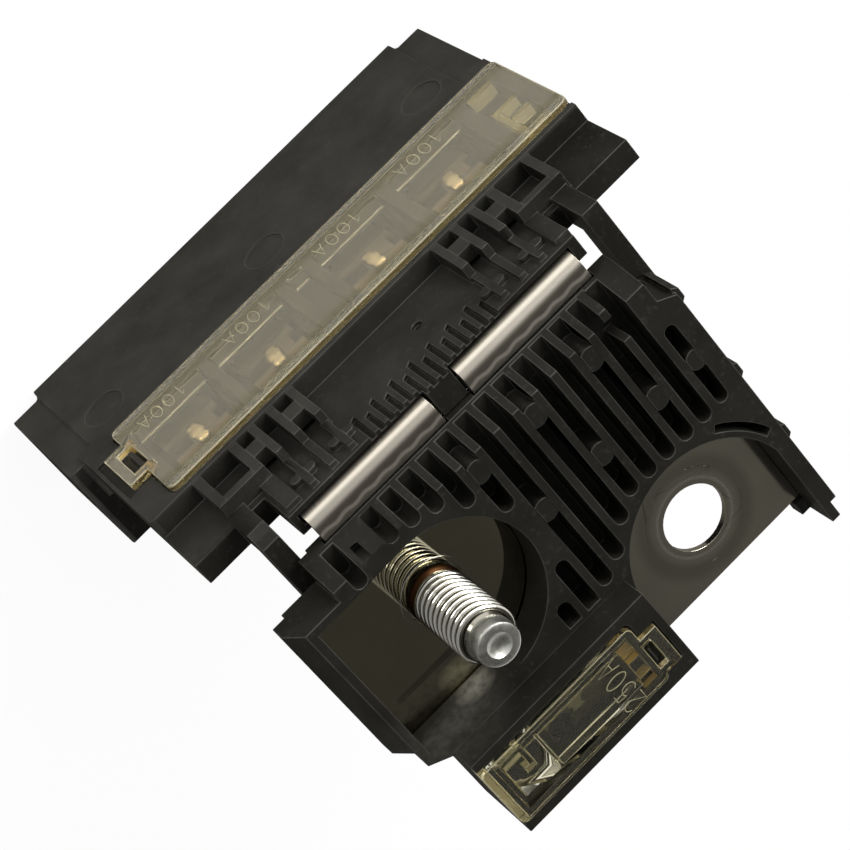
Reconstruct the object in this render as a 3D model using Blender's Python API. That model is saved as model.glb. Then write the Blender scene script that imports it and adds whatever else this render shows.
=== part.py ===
"""Battery-post fuse holder: ribbed terminal plate, fuse block, studs, bus bars, links and two clear covers."""
import bpy
import bmesh
import math
from mathutils import Vector

# Driving dimensions, in millimetres. Z = 0 is the top of the terminal sheet, the origin is the bolt hole.
SHEET = 1.0          # thickness of the plated sheet
GAP = 0.3            # clearance kept between touching pieces
HOLE_R = 4.65        # bolt hole in the terminal sheet
COIN_R = 7.2         # pressed pad around the bolt hole, on both faces
COIN_H = 0.12
ARC_R = 12.9         # bare round area around the bolt hole
RIB_H = 6.0          # height of the ribbed moulding above the sheet
SKIN = 0.9           # slot floor above the sheet
BASE = 2.0           # depth of the moulding below the sheet's top face
RIB_PITCH = 3.27
SLOT_W = 2.1
SLOT_X0 = -8.2       # centre of the first slot
SHORT_SLOTS = (-14.6, -9.8)   # front ends of the two short slots beside the tray
PAD_R = 1.75
ARC_BITE = 0.3       # how far the round area reaches past the side wall's inner face
WALL_T = 2.4
WALL_END = 11.9
SHEET_FAR = 9.5      # free edge of the terminal sheet
FRONT = -35.0        # front edge of the rib tops
RIB_RUN = 2.2        # how far the rib ends slope forward down to the sheet
STUD_X, STUD_Y = 31.2, -20.1
STUD_R = 4.0
STUD_H = 17.0
TIP_R = 3.05
TIP_H = 2.6
TRAY_R = 12.4
TRAY_X1 = 45.7
TRAY_Y0 = -32.1
TRAY_Y1 = -7.8
TRAY_WALL = 1.3
BOX_X0, BOX_X1 = 13.1, 43.5
BOX_Y0, BOX_Y1 = -5.5, 8.4
BOX_TOP = 10.7
BOX_WALL = 1.5
LOOP_OUT = 2.7       # how far the latch loops stand out of the covers
LOOP_Y = 2.2         # middle of the small cover's latch loop
LOOP_H = 3.3         # half its width
COVER_T = 1.0        # thickness of both clear covers
COVER_SINK = 0.6     # depth of the seats that the covers lie in
SKIRT = 2.0          # how far the covers reach into the mouths they close
SKIRT_T = 0.8
SMALL_EDGES = (1.7, 2.0)   # black rims left beside the small cover
SNAP_Y = (1.5, 3.0)  # inner and outer face of its two snap legs, from the middle of the loop
END_T = 1.1          # end wall of the small cover
LOOP_W = 1.6         # width of the latch loops' bars
BEND_R = 2.0         # outer radius of the bent strips
SHEET_Y = -41.1      # front face of the hanging part of the bus bar
WALL_Y = -42.2       # front face of the block's upper wall
BACK_Y = -38.8       # back face of the upper wall
LEG_Y = -43.0        # front face of the legs and arms
RIM_Y = -45.2        # front face of the block's rim and frames
LEG_TOP = -2.6
LEG_TIP = -10.4      # level where the legs step forward to the frames
SHOULDER_Z = -9.1
COMB_H = 4.9         # length of the longer comb slots in the recessed wall
LEDGE_Z = -19.0
COVER_Z1 = -20.4     # top and bottom edge of the long cover
COVER_Z0 = -41.6
BLOCK_X0, BLOCK_X1 = -25.4, 50.2
COVER_X1 = 45.4
LOW_X1 = 52.9        # outer end of the lower housing
LOW_TOP = -42.6
LOW_Z = -64.8
SLAB_Z = -66.5
SLAB_X0, SLAB_X1 = -20.8, 48.0
LOW_BACK = -30.9
MID = 13.25          # the block's middle in X
ARM_LEFT = 29.4      # from the middle to the outer face of the left arm
ARM_RIGHT = 27.2     # from the middle to the inner face of the right arm
ARM_T = 2.8
STRIP_LEFT = 22.5    # from the middle to the outer ends of the two bent strips
STRIP_RIGHT = 23.7
LINK_X = (-9.2, 5.3, 23.3, 37.3)
CELLS = ((-23.0, -18.2), (-15.8, -3.4), (-1.4, 10.6), (12.1, 15.3), (17.1, 29.5), (31.1, 43.6))
CELL_TOP, CELL_BOT = -21.5, -39.0
E_BARS = (-26.6, -30.7)
LATCH_Z = -32.8      # middle of the long cover's latch loop
LATCH_H = 4.7        # half its height
LEG_HALF = 0.9       # half the height of the snap legs beside it
LINK_W = 9.0
SOCKET_W = 11.4
BLADE_W = 7.8
BLADE_T = 0.8
DIMPLE_R = 0.8       # blind mark on the recessed wall
EJECTOR_X = (-16.3, 13.3, 43.2)
EJECTOR_Z = -49.0
EJECTOR_R = 3.15
MM = 0.001


def material(name, colour, rough, metal=0.0):
    m = bpy.data.materials.new(name)
    m.use_nodes = True
    p = m.node_tree.nodes["Principled BSDF"]
    p.inputs["Base Color"].default_value = (*colour, 1.0)
    p.inputs["Roughness"].default_value = rough
    p.inputs["Metallic"].default_value = metal
    return m


def mesh_object(name, bm, mat=None, smooth=False):
    """Makes an object from a bmesh in millimetres."""
    bmesh.ops.scale(bm, vec=(MM, MM, MM), verts=bm.verts)
    bmesh.ops.recalc_face_normals(bm, faces=bm.faces)
    me = bpy.data.meshes.new(name)
    bm.to_mesh(me)
    bm.free()
    ob = bpy.data.objects.new(name, me)
    bpy.context.scene.collection.objects.link(ob)
    if mat:
        me.materials.append(mat)
    for p in me.polygons:
        p.use_smooth = smooth
    return ob


def prism(bm, pts, a0, a1, axis="Z"):
    """Adds a closed prism over a polygon given in the two other axes (XY, XZ or YZ)."""
    put = {"Z": lambda u, v, w: (u, v, w), "Y": lambda u, v, w: (u, w, v), "X": lambda u, v, w: (w, u, v)}[axis]
    low = [bm.verts.new(put(u, v, a0)) for u, v in pts]
    top = [bm.verts.new(put(u, v, a1)) for u, v in pts]
    n = len(pts)
    bm.faces.new(low[::-1])
    bm.faces.new(top)
    for i in range(n):
        j = (i + 1) % n
        bm.faces.new((low[i], low[j], top[j], top[i]))


def box(bm, x0, x1, y0, y1, z0, z1):
    prism(bm, [(x0, y0), (x1, y0), (x1, y1), (x0, y1)], z0, z1)


def round_pts(x0, x1, y0, y1, r, seg=4):
    """Corners of a rectangle rounded with radius r."""
    pts = []
    for cx, cy, a in ((x1 - r, y0 + r, -90), (x1 - r, y1 - r, 0), (x0 + r, y1 - r, 90), (x0 + r, y0 + r, 180)):
        for i in range(seg + 1):
            t = math.radians(a + 90 * i / seg)
            pts.append((cx + r * math.cos(t), cy + r * math.sin(t)))
    return pts


def circle_pts(cx, cy, r, seg=32, a0=0.0, a1=360.0):
    full = abs(a1 - a0) > 359.9
    n = seg if full else seg + 1
    return [(cx + r * math.cos(math.radians(a0 + (a1 - a0) * i / seg)),
             cy + r * math.sin(math.radians(a0 + (a1 - a0) * i / seg))) for i in range(n)]


def solid(name, build, mat=None, smooth=False):
    bm = bmesh.new()
    build(bm)
    return mesh_object(name, bm, mat, smooth)


def boolean(ob, build, how):
    """Joins or cuts the shapes that build() adds, one exact boolean for all of them."""
    tool = solid("tool", build)
    tool.hide_render = True
    tool.display_type = "WIRE"
    mod = ob.modifiers.new("step", "BOOLEAN")
    mod.operation = how
    mod.solver = "EXACT"
    mod.use_self = True
    mod.object = tool
    deps = bpy.context.evaluated_depsgraph_get()
    me = bpy.data.meshes.new_from_object(ob.evaluated_get(deps))
    ob.modifiers.clear()
    old = ob.data
    ob.data = me
    bpy.data.meshes.remove(old)
    bpy.data.objects.remove(tool, do_unlink=True)
    tidy(ob)


def tidy(ob):
    bm = bmesh.new()
    bm.from_mesh(ob.data)
    bmesh.ops.remove_doubles(bm, verts=bm.verts, dist=0.00001)
    bmesh.ops.dissolve_limit(bm, angle_limit=0.002, verts=bm.verts, edges=bm.edges)
    bmesh.ops.recalc_face_normals(bm, faces=bm.faces)
    bm.to_mesh(ob.data)
    bm.free()


def cut(ob, build):
    boolean(ob, build, "DIFFERENCE")


def join(ob, build):
    boolean(ob, build, "UNION")


def bevel(ob, width, segments=2, angle=40):
    mod = ob.modifiers.new("edges", "BEVEL")
    mod.width = width * MM
    mod.segments = segments
    mod.limit_method = "ANGLE"
    mod.angle_limit = math.radians(angle)
    mod.harden_normals = False


# Places worked out from the driving dimensions.
RIB_FOOT = FRONT - RIB_RUN
WALL_IN = ARC_BITE - ARC_R
WALL_X0 = WALL_IN - WALL_T
COVER_X0 = BLOCK_X0
BRIDGE_X0, BRIDGE_X1 = MID - 1.5 * RIB_PITCH / 3.27 - 0.1, MID + 1.5 * RIB_PITCH / 3.27 + 1.0
STRIPS = ((MID - STRIP_LEFT, BRIDGE_X0 - 0.4), (BRIDGE_X1 + 0.4, MID + STRIP_RIGHT))
PLATE_SPLIT = STUD_X - TRAY_R - 0.9      # where the main sheet ends beside the stud's sheet
ARMS = ((MID - ARM_LEFT, MID - ARM_LEFT + ARM_T), (MID + ARM_RIGHT, MID + ARM_RIGHT + ARM_T))
LINK_TOP = CELL_TOP - 8.6
LINK_BOT = CELL_BOT - 0.6
FORK = CELL_TOP - 1.7
LATCH_LEGS = (LATCH_Z - LATCH_H + 0.8, LATCH_Z + LATCH_H - 0.8)
SEAT_Y = RIM_Y + COVER_SINK              # floor of the long cover's seat
SEAT_Z = BOX_TOP - COVER_SINK            # floor of the small cover's seat
SMALL = (BOX_X0 + 4.2, BOX_X1, BOX_Y0 + SMALL_EDGES[0], BOX_Y1 - SMALL_EDGES[1])
MOUTH = (SMALL[0] + 0.7, SMALL[1] - BOX_WALL, SMALL[2] + 0.8, SMALL[3] - 0.7)
BAND_X0 = LINK_X[0] - LINK_W / 2
BAND_X1 = LINK_X[-1] + LINK_W / 2


def main_sheet(bm, grow=0.0):
    """The terminal plate with its bolt-hole end, as a flat outline grown by a clearance."""
    g = grow
    z0, z1 = -SHEET - g, g
    split = PLATE_SPLIT + g
    box_end = BOX_X0 + 9.0 + g
    pts = [(WALL_IN - 1.0 - g, FRONT + 4.0 - g), (STRIPS[0][0] - 0.6 - g, FRONT + 2.0 - g),
           (STRIPS[0][0] - 0.6 - g, FRONT - g), (STRIPS[1][1] + 0.6 + g, FRONT - g),
           (STRIPS[1][1] + 0.6 + g, TRAY_Y0 - 2.3 + g), (split, TRAY_Y0 - 2.3 + g), (split, BOX_Y0 + 1.9 - g),
           (box_end, BOX_Y0 + 1.9 - g), (box_end, BOX_Y1 - 2.0 + g), (ARC_R + 0.9 + g, BOX_Y1 - 2.0 + g),
           (ARC_R + 0.9 + g, SHEET_FAR + g), (WALL_IN - 1.0 - g, SHEET_FAR + g)]
    prism(bm, pts, z0, z1)


def stud_sheet(bm, grow=0.0):
    g = grow
    x0 = PLATE_SPLIT + 1.0 - g
    x1 = TRAY_X1 + 0.4 + g
    end = BOX_X1 - BOX_WALL - 0.6
    pts = [(x0, TRAY_Y0 - 0.7 - g), (x1, TRAY_Y0 - 0.7 - g), (x1, TRAY_Y1 + 0.6 + g), (end + g, TRAY_Y1 + 0.6 + g),
           (end + g, BOX_Y1 - 2.0 + g), (BOX_X0 + 17.0 - g, BOX_Y1 - 2.0 + g), (BOX_X0 + 17.0 - g, BOX_Y0 + 0.3 + g),
           (x0, BOX_Y0 + 0.3 + g)]
    prism(bm, pts, -SHEET - g, g)


def bend_pts(y_from, z_to, t, g=0.0):
    """Side outline (Y, Z) of a strip that runs forward, turns down through 90 degrees and hangs."""
    yc, zc = SHEET_Y + BEND_R, -BEND_R
    out = [(yc - (BEND_R + g) * math.sin(math.radians(a)), zc + (BEND_R + g) * math.cos(math.radians(a)))
           for a in range(0, 91, 15)]
    inn = [(yc - (BEND_R - t - g) * math.sin(math.radians(a)), zc + (BEND_R - t - g) * math.cos(math.radians(a)))
           for a in range(90, -1, -15)]
    return [(y_from, g)] + out + [(SHEET_Y - g, z_to), (SHEET_Y + t + g, z_to)] + inn + [(y_from, -t - g)]


def bus_bar(mat):
    ob = solid("bus_bar", main_sheet, mat)

    def more(bm):
        for x0, x1 in STRIPS:
            prism(bm, bend_pts(FRONT + 0.3, LEDGE_Z, SHEET), x0, x1, "X")
        box(bm, BAND_X0, BAND_X1, SHEET_Y, SHEET_Y + SHEET, FORK, LEDGE_Z + 2.0)
        for x in LINK_X:
            box(bm, x - LINK_W / 2, x + LINK_W / 2, SHEET_Y, SHEET_Y + SHEET, LINK_TOP, FORK + 1.0)
        prism(bm, circle_pts(0, 0, COIN_R, 40), -SHEET - COIN_H, COIN_H)
    join(ob, more)

    def holes(bm):
        prism(bm, circle_pts(0, 0, HOLE_R, 40), -SHEET - 1, 1)
    cut(ob, holes)
    return ob


def slot(bm, x, y0, y1, z0, round_low=True, round_high=True, w=None):
    """A slot cutter along Y with rounded ends."""
    r = (w or SLOT_W) / 2
    pts = []
    if round_low:
        pts += circle_pts(x, y0 + r, r, 6, 180, 360)
    else:
        pts += [(x - r, y0), (x + r, y0)]
    if round_high:
        pts += circle_pts(x, y1 - r, r, 6, 0, 180)
    else:
        pts += [(x + r, y1), (x - r, y1)]
    prism(bm, pts, z0, RIB_H + 1)


def slot_end(x):
    """How far a slot reaches towards the round bare area, on the far side of the ribs."""
    if x < RIB_PITCH * 1.5 + 0.2:
        return -(ARC_R + 0.8)
    return -math.sqrt(max((ARC_R + 1.1) ** 2 - x * x, 0.0)) - 0.3


def plate_housing(mat):
    """Ribbed moulding around the sheets. The curved slots, arcs and tray in it take the most skill."""
    tray_out = TRAY_X1 + TRAY_WALL
    arc = circle_pts(0, 0, ARC_R, 28, 0.0, -(180 - math.degrees(math.acos(-WALL_IN / ARC_R))))
    corner = [(WALL_X0, WALL_END - 2.6), (WALL_X0, FRONT + 4.6), (WALL_IN + 0.2, FRONT + 3.2),
              (WALL_IN + 0.2, RIB_FOOT), (ARMS[1][0] + 0.6, RIB_FOOT), (ARMS[1][0] + 0.6, TRAY_Y0 - TRAY_WALL),
              (tray_out, TRAY_Y0 - TRAY_WALL), (tray_out, TRAY_Y1 + 1.1), (BOX_X1, BOX_Y0 + 0.6), (BOX_X1, BOX_Y1),
              (BOX_X0, BOX_Y1), (BOX_X0, 0.0)]
    rest = arc + [(WALL_IN, WALL_END), (WALL_X0 + 1.0, WALL_END), (WALL_X0 + 1.0, WALL_END - 2.6)]

    def body(bm):
        prism(bm, corner + rest, -BASE, RIB_H)
    ob = solid("plate_housing", body, mat)

    def extra(bm):
        box(bm, BOX_X0, BOX_X1, BOX_Y0, BOX_Y1, -BASE + 0.5, BOX_TOP)
        side = [(tray_out - 1.0, -0.4), (tray_out + 2.0, -0.4), (tray_out + 2.0, RIB_H * 0.4), (tray_out, RIB_H),
                (tray_out - 1.0, RIB_H)]
        prism(bm, side, TRAY_Y0 - TRAY_WALL, TRAY_Y1 - 1.6, "Y")
        for y in (-3.5, -15.5, FRONT + 5.2):
            prism(bm, [(WALL_X0 + 0.3, y - 1.6), (WALL_X0 - 0.7, y - 0.8), (WALL_X0 - 0.7, y + 0.8),
                       (WALL_X0 + 0.3, y + 1.6)], -BASE + 0.4, RIB_H - 0.6)
        box(bm, WALL_IN - 0.4, WALL_IN + 1.4, SHEET_FAR + GAP, WALL_END, -BASE, 0.5)
    join(ob, extra)

    def lows(bm):
        # front slope of the rib ends, the raised underside of the tray corner and the sheets' own room
        wedge = [(FRONT, RIB_H + 0.01), (RIB_FOOT, GAP), (RIB_FOOT - 2, GAP), (RIB_FOOT - 2, RIB_H + 2),
                 (FRONT, RIB_H + 2)]
        prism(bm, wedge, WALL_X0 - 4, tray_out + 4, "X")
        box(bm, ARMS[1][0] - 1.0, tray_out + 4, TRAY_Y0 - TRAY_WALL - 6, TRAY_Y0 + 6, -BASE - 1, -SHEET - GAP - 0.01)
    cut(ob, lows)

    def deep(bm):
        tray = circle_pts(STUD_X, STUD_Y, TRAY_R, 30, 90, 270)
        tray += [(STUD_X, TRAY_Y0 - 0.4 + 0.4), (TRAY_X1, TRAY_Y0), (TRAY_X1, TRAY_Y1), (STUD_X, TRAY_Y1)]
        prism(bm, [p for i, p in enumerate(tray) if i != 31], -0.5, RIB_H + 1)
        x0, x1, y0, y1 = MOUTH
        prism(bm, round_pts(x0, x1, y0, y1, 0.6), -0.5, BOX_TOP + 1)
        x0, x1, y0, y1 = SMALL
        prism(bm, round_pts(x0 - GAP, x1 + 4, y0 - GAP, y1 + GAP, 0.9), SEAT_Z, BOX_TOP + 1)
        box(bm, x0 - LOOP_OUT - GAP, x0 + 1, LOOP_Y - LOOP_H - GAP, LOOP_Y + LOOP_H + GAP, SEAT_Z, BOX_TOP + 1)
        box(bm, MOUTH[1] - 0.1, x1 + 4, y0 - GAP, y1 + GAP, SEAT_Z - SKIRT, BOX_TOP + 1)
        prism(bm, circle_pts(STUD_X, STUD_Y, 7.6, 28), -BASE - 1, 0)
    cut(ob, deep)

    def slots(bm):
        z = GAP + SKIN - 0.3
        for k in range(5):
            x = SLOT_X0 + k * RIB_PITCH
            slot(bm, x, RIB_FOOT - 1, slot_end(x), z, round_low=False)
        for k in (5, 6, 7):
            x = SLOT_X0 + k * RIB_PITCH
            slot(bm, x, RIB_FOOT - 1, slot_end(x) if k < 7 else BOX_Y0 - 1.3, z, round_low=False)
        x = SLOT_X0 + 8 * RIB_PITCH
        slot(bm, x, RIB_FOOT - 1, STUD_Y - 5.2, z, round_low=False)
        slot(bm, x, SHORT_SLOTS[0], BOX_Y0 - 0.6, z, round_high=False)
        x += RIB_PITCH
        slot(bm, x, RIB_FOOT - 1, STUD_Y - 9.7, z, round_low=False)
        slot(bm, x, SHORT_SLOTS[1], BOX_Y0 - 0.6, z, round_high=False)
        for k, y in ((10, -12.4), (11, -13.4), (12, -13.9), (14, -12.4)):
            slot(bm, SLOT_X0 + k * RIB_PITCH, RIB_FOOT - 1, STUD_Y + y, z, round_low=False)
        slot(bm, WALL_IN + 1.2, FRONT + 7.0, -(ARC_R + 1.1), z, w=1.8)
        box(bm, SLOT_X0 - 1.0, SLOT_X0 + RIB_PITCH + 1.0, RIB_FOOT - 1, FRONT + 4.0, z, RIB_H + 1)
        wide = SLOT_X0 + 13 * RIB_PITCH
        box(bm, wide + 0.1, wide + 1.3, FRONT - 1.1, FRONT + 0.1, z + 1.2, RIB_H + 1)
        groove = circle_pts(0, 0, ARC_R + 2.1, 10, 203, 236) + circle_pts(0, 0, ARC_R + 0.95, 10, 236, 203)
        prism(bm, groove, z + 0.6, RIB_H + 1)
    cut(ob, slots)

    def pads(bm):
        for k, y in ((1, -21.5), (4, -21.5), (7, -21.5), (2, -32.5), (5, -32.5), (8, -32.5)):
            prism(bm, circle_pts(SLOT_X0 + k * RIB_PITCH, y, PAD_R, 16), GAP + 0.2, RIB_H - 0.02)
        prism(bm, circle_pts(WALL_IN + 0.8, -21.5, PAD_R - 0.2, 16), GAP + 0.2, RIB_H - 0.02)
        x = SLOT_X0 + RIB_PITCH * 0.52
        prism(bm, [(FRONT + 1.0, GAP + 0.2), (FRONT + 1.0, 4.6), (FRONT - 0.5, 4.6), (RIB_FOOT + 0.05, GAP + 0.2)],
              x - 0.6, x + 0.6, "X")
        # catch for the small cover's loop
        x = SMALL[0] - 0.1
        prism(bm, [(x - 0.6, SEAT_Z - 0.3), (x + 0.1, SEAT_Z - 0.3), (x + 0.1, SEAT_Z + 0.9), (x - 0.2, SEAT_Z + 0.9)],
              LOOP_Y - 1.2, LOOP_Y + 1.2, "Y")
    join(ob, pads)

    def rooms(bm):
        main_sheet(bm, GAP)
        for x0, x1 in STRIPS:
            box(bm, x0 - GAP, x1 + GAP, RIB_FOOT - 2, FRONT + 0.3, -SHEET - GAP, GAP)
    cut(ob, rooms)

    def rooms_two(bm):
        stud_sheet(bm, GAP)
    cut(ob, rooms_two)
    return ob


def stud_plate(mat):
    ob = solid("stud_plate", stud_sheet, mat)
    join(ob, lambda bm: prism(bm, circle_pts(STUD_X, STUD_Y, STUD_R + 1.1, 28), -SHEET / 2, COIN_H))
    cut(ob, lambda bm: prism(bm, circle_pts(STUD_X, STUD_Y, STUD_R + GAP, 28), -SHEET - 1, 1))
    return ob


def stud(mat):
    """The stud turned as one profile: head under the sheet, shank, thread length, dog point with a dimple."""
    head_z = -SHEET - GAP
    prof = [(0, head_z - 2.4), (6.4, head_z - 2.4), (6.8, head_z - 2.0), (6.8, head_z), (STUD_R, head_z),
            (STUD_R, 0.3), (STUD_R - 0.35, 0.6), (STUD_R - 0.35, 1.3), (STUD_R, 1.7), (STUD_R, STUD_H - TIP_H - 0.9),
            (TIP_R, STUD_H - TIP_H), (TIP_R, STUD_H - 0.5), (TIP_R - 0.5, STUD_H), (1.6, STUD_H),
            (0, STUD_H - 0.6)]
    bm = bmesh.new()
    vs = [bm.verts.new((r, 0, z)) for r, z in prof]
    for a, b in zip(vs, vs[1:]):
        bm.edges.new((a, b))
    bmesh.ops.spin(bm, geom=bm.verts[:] + bm.edges[:], cent=(0, 0, 0), axis=(0, 0, 1), angle=2 * math.pi,
                   steps=28, use_merge=True)
    bmesh.ops.remove_doubles(bm, verts=bm.verts, dist=0.001)
    bmesh.ops.translate(bm, vec=(STUD_X, STUD_Y, 0), verts=bm.verts)
    return mesh_object("stud", bm, mat, smooth=True)


def main_link(mat_strip, mat_pellet):
    """The rated strip under the small cover: two feet on the sheets, an arch and a narrow neck."""
    x0, x1 = BOX_X0 + 5.2, BOX_X1 - BOX_WALL - 1.4
    z = GAP
    a, b = x0 + 3.6, x1 - 6.4
    t, top = 0.8, 4.2
    prof = [(x0, z), (a, z), (a + 1.6, z + top), (b - 1.6, z + top), (b, z), (x1, z), (x1, z + t), (b + 0.6, z + t),
            (b - 1.0, z + top + t), (a + 1.0, z + top + t), (a - 0.6, z + t), (x0, z + t)]
    yc = (BOX_Y0 + BOX_Y1) / 2 - 0.1
    ob = solid("main_link", lambda bm: prism(bm, prof, yc - 4.0, yc + 4.0, "Y"), mat_strip)
    m = (a + b) / 2

    def necks(bm):
        for s in (-1, 1):
            prism(bm, circle_pts(m + s * 3.2, yc + s * 2.6, 1.9, 16), z + 1.5, z + top + 2)
    cut(ob, necks)
    zp = z + top + t + GAP
    pel = solid("main_pellet", lambda bm: prism(bm, round_pts(m - 1.4, m + 1.4, yc - 1.9, yc + 1.9, 0.8, 3), zp,
                                                zp + 1.3), mat_pellet)
    bevel(pel, 0.35, 2)
    return ob, pel


def small_cover(mat):
    """Clear cover over the main link, with a latch loop, snap legs and stiffening ribs."""
    x0, x1, y0, y1 = SMALL
    z = SEAT_Z + GAP
    ob = solid("small_cover", lambda bm: prism(bm, round_pts(x0, x1, y0, y1, 0.8, 3), z, z + COVER_T), mat)
    c = GAP + 0.1
    mx0, mx1, my0, my1 = MOUTH

    def add(bm):
        box(bm, mx0 + c, mx1 - c, my0 + c, my1 - c, z - SKIRT, z + 0.4)
        box(bm, x1 - END_T, x1, y0, y1, z - SKIRT, z + 0.4)
        box(bm, x0 - LOOP_OUT, x0 + 0.6, LOOP_Y - LOOP_H, LOOP_Y + LOOP_H, z, z + COVER_T)
    join(ob, add)

    def sub(bm):
        w = c + SKIRT_T
        box(bm, mx0 + w + 1.2, mx1 - w, my0 + w, my1 - w, z - SKIRT - 1, z)
        box(bm, x0 - LOOP_OUT + LOOP_W, x0 + 0.3, LOOP_Y - LOOP_H + 1.2, LOOP_Y + LOOP_H - 1.2, z - 1, z + 3)
        # only two snap legs are left of the skirt's latch end
        near, far = SNAP_Y
        for a, b in ((my0, LOOP_Y - far), (LOOP_Y - near, LOOP_Y + near), (LOOP_Y + far, my1)):
            box(bm, mx0, mx0 + 2.6, a, b, z - SKIRT - 1, z - 0.01)
    cut(ob, sub)

    def ribs(bm):
        xr = mx1 - c - SKIRT_T + 0.1
        low, top = z - SKIRT + 0.5, z + 0.3
        prism(bm, [(xr, LOOP_Y - 0.3), (xr, my1 - c - 0.2), (xr - 3.2, my1 - c - 0.2), (xr - 3.2, LOOP_Y + 2.2)],
              low, top)
        box(bm, xr - 3.8, xr - 3.1, my0 + c + 0.2, LOOP_Y - 0.9, low, top)
        box(bm, xr - 3.8, xr, my0 + c + 0.2, my0 + c + SKIRT_T + 0.5, low, top)
        box(bm, xr - 3.2, xr - 2.2, LOOP_Y - 1.6, LOOP_Y - 0.9, low, top)
        box(bm, xr - 6.2, xr - 5.8, my0 + c + 0.2, my1 - c - 0.2, low + 0.7, top)
    join(ob, ribs)
    return ob, (x1, LOOP_Y, z - SKIRT)


def long_cover(mat):
    """Clear cover over the four links: two bars in each cell, a latch loop and its snap legs."""
    x0, x1 = COVER_X0, COVER_X1
    y = SEAT_Y - GAP
    ob = solid("long_cover", lambda bm: prism(bm, round_pts(x0, x1, COVER_Z0, COVER_Z1, 1.2, 4), y - COVER_T, y, "Y"),
               mat)
    c = GAP + 0.1

    def add(bm):
        for a, b in CELLS:
            box(bm, a + c, b - c, y - 0.4, y + SKIRT, CELL_TOP - c - SKIRT_T, CELL_TOP - c)
            box(bm, a + c, b - c, y - 0.4, y + SKIRT, CELL_BOT + c, CELL_BOT + c + SKIRT_T)
        # ribs in the first cell, like a letter E
        a, b = CELLS[0]
        box(bm, b - c - SKIRT_T, b - c, y - 0.4, y + SKIRT - 0.2, E_BARS[1] - SKIRT_T, CELL_TOP - c - 0.1)
        for z in E_BARS:
            box(bm, a + c, b - c - 0.1, y - 0.4, y + SKIRT - 0.4, z - SKIRT_T, z)
        for z in LATCH_LEGS:
            box(bm, CELLS[-1][1] + c, x1 - 0.2, y - 0.4, y + SKIRT - 0.3, z - LEG_HALF, z + LEG_HALF)
        box(bm, x1 - 0.6, x1 + LOOP_OUT + 0.4, y - COVER_T, y, LATCH_Z - LATCH_H, LATCH_Z + LATCH_H)
    join(ob, add)

    def sub(bm):
        box(bm, x1 - 0.9, x1 + LOOP_OUT + 0.4 - LOOP_W, y - 4, y + 2, LATCH_Z - LATCH_H + LOOP_W,
            LATCH_Z + LATCH_H - LOOP_W)
    cut(ob, sub)
    return ob, (x0, y, LATCH_Z)


def frame_bars():
    """X ranges of the upright bars in front of the upper wall, and of the cross pieces between them."""
    m = MID
    bars, cross, tops = [], [], []
    for s in (-1, 1):
        def span(a, b):
            lo, hi = m + s * a, m + s * b
            return (min(lo, hi), max(lo, hi))
        bars += [span(12.3, 13.5), span(15.8, 17.0), span(19.0, 20.2), span(22.2, 23.6), span(28.4, 29.8)]
        cross += [span(13.3, 16.0), span(20.0, 22.4)]
        tops += [span(22.2, 29.8)]
    return bars, cross, tops


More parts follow.
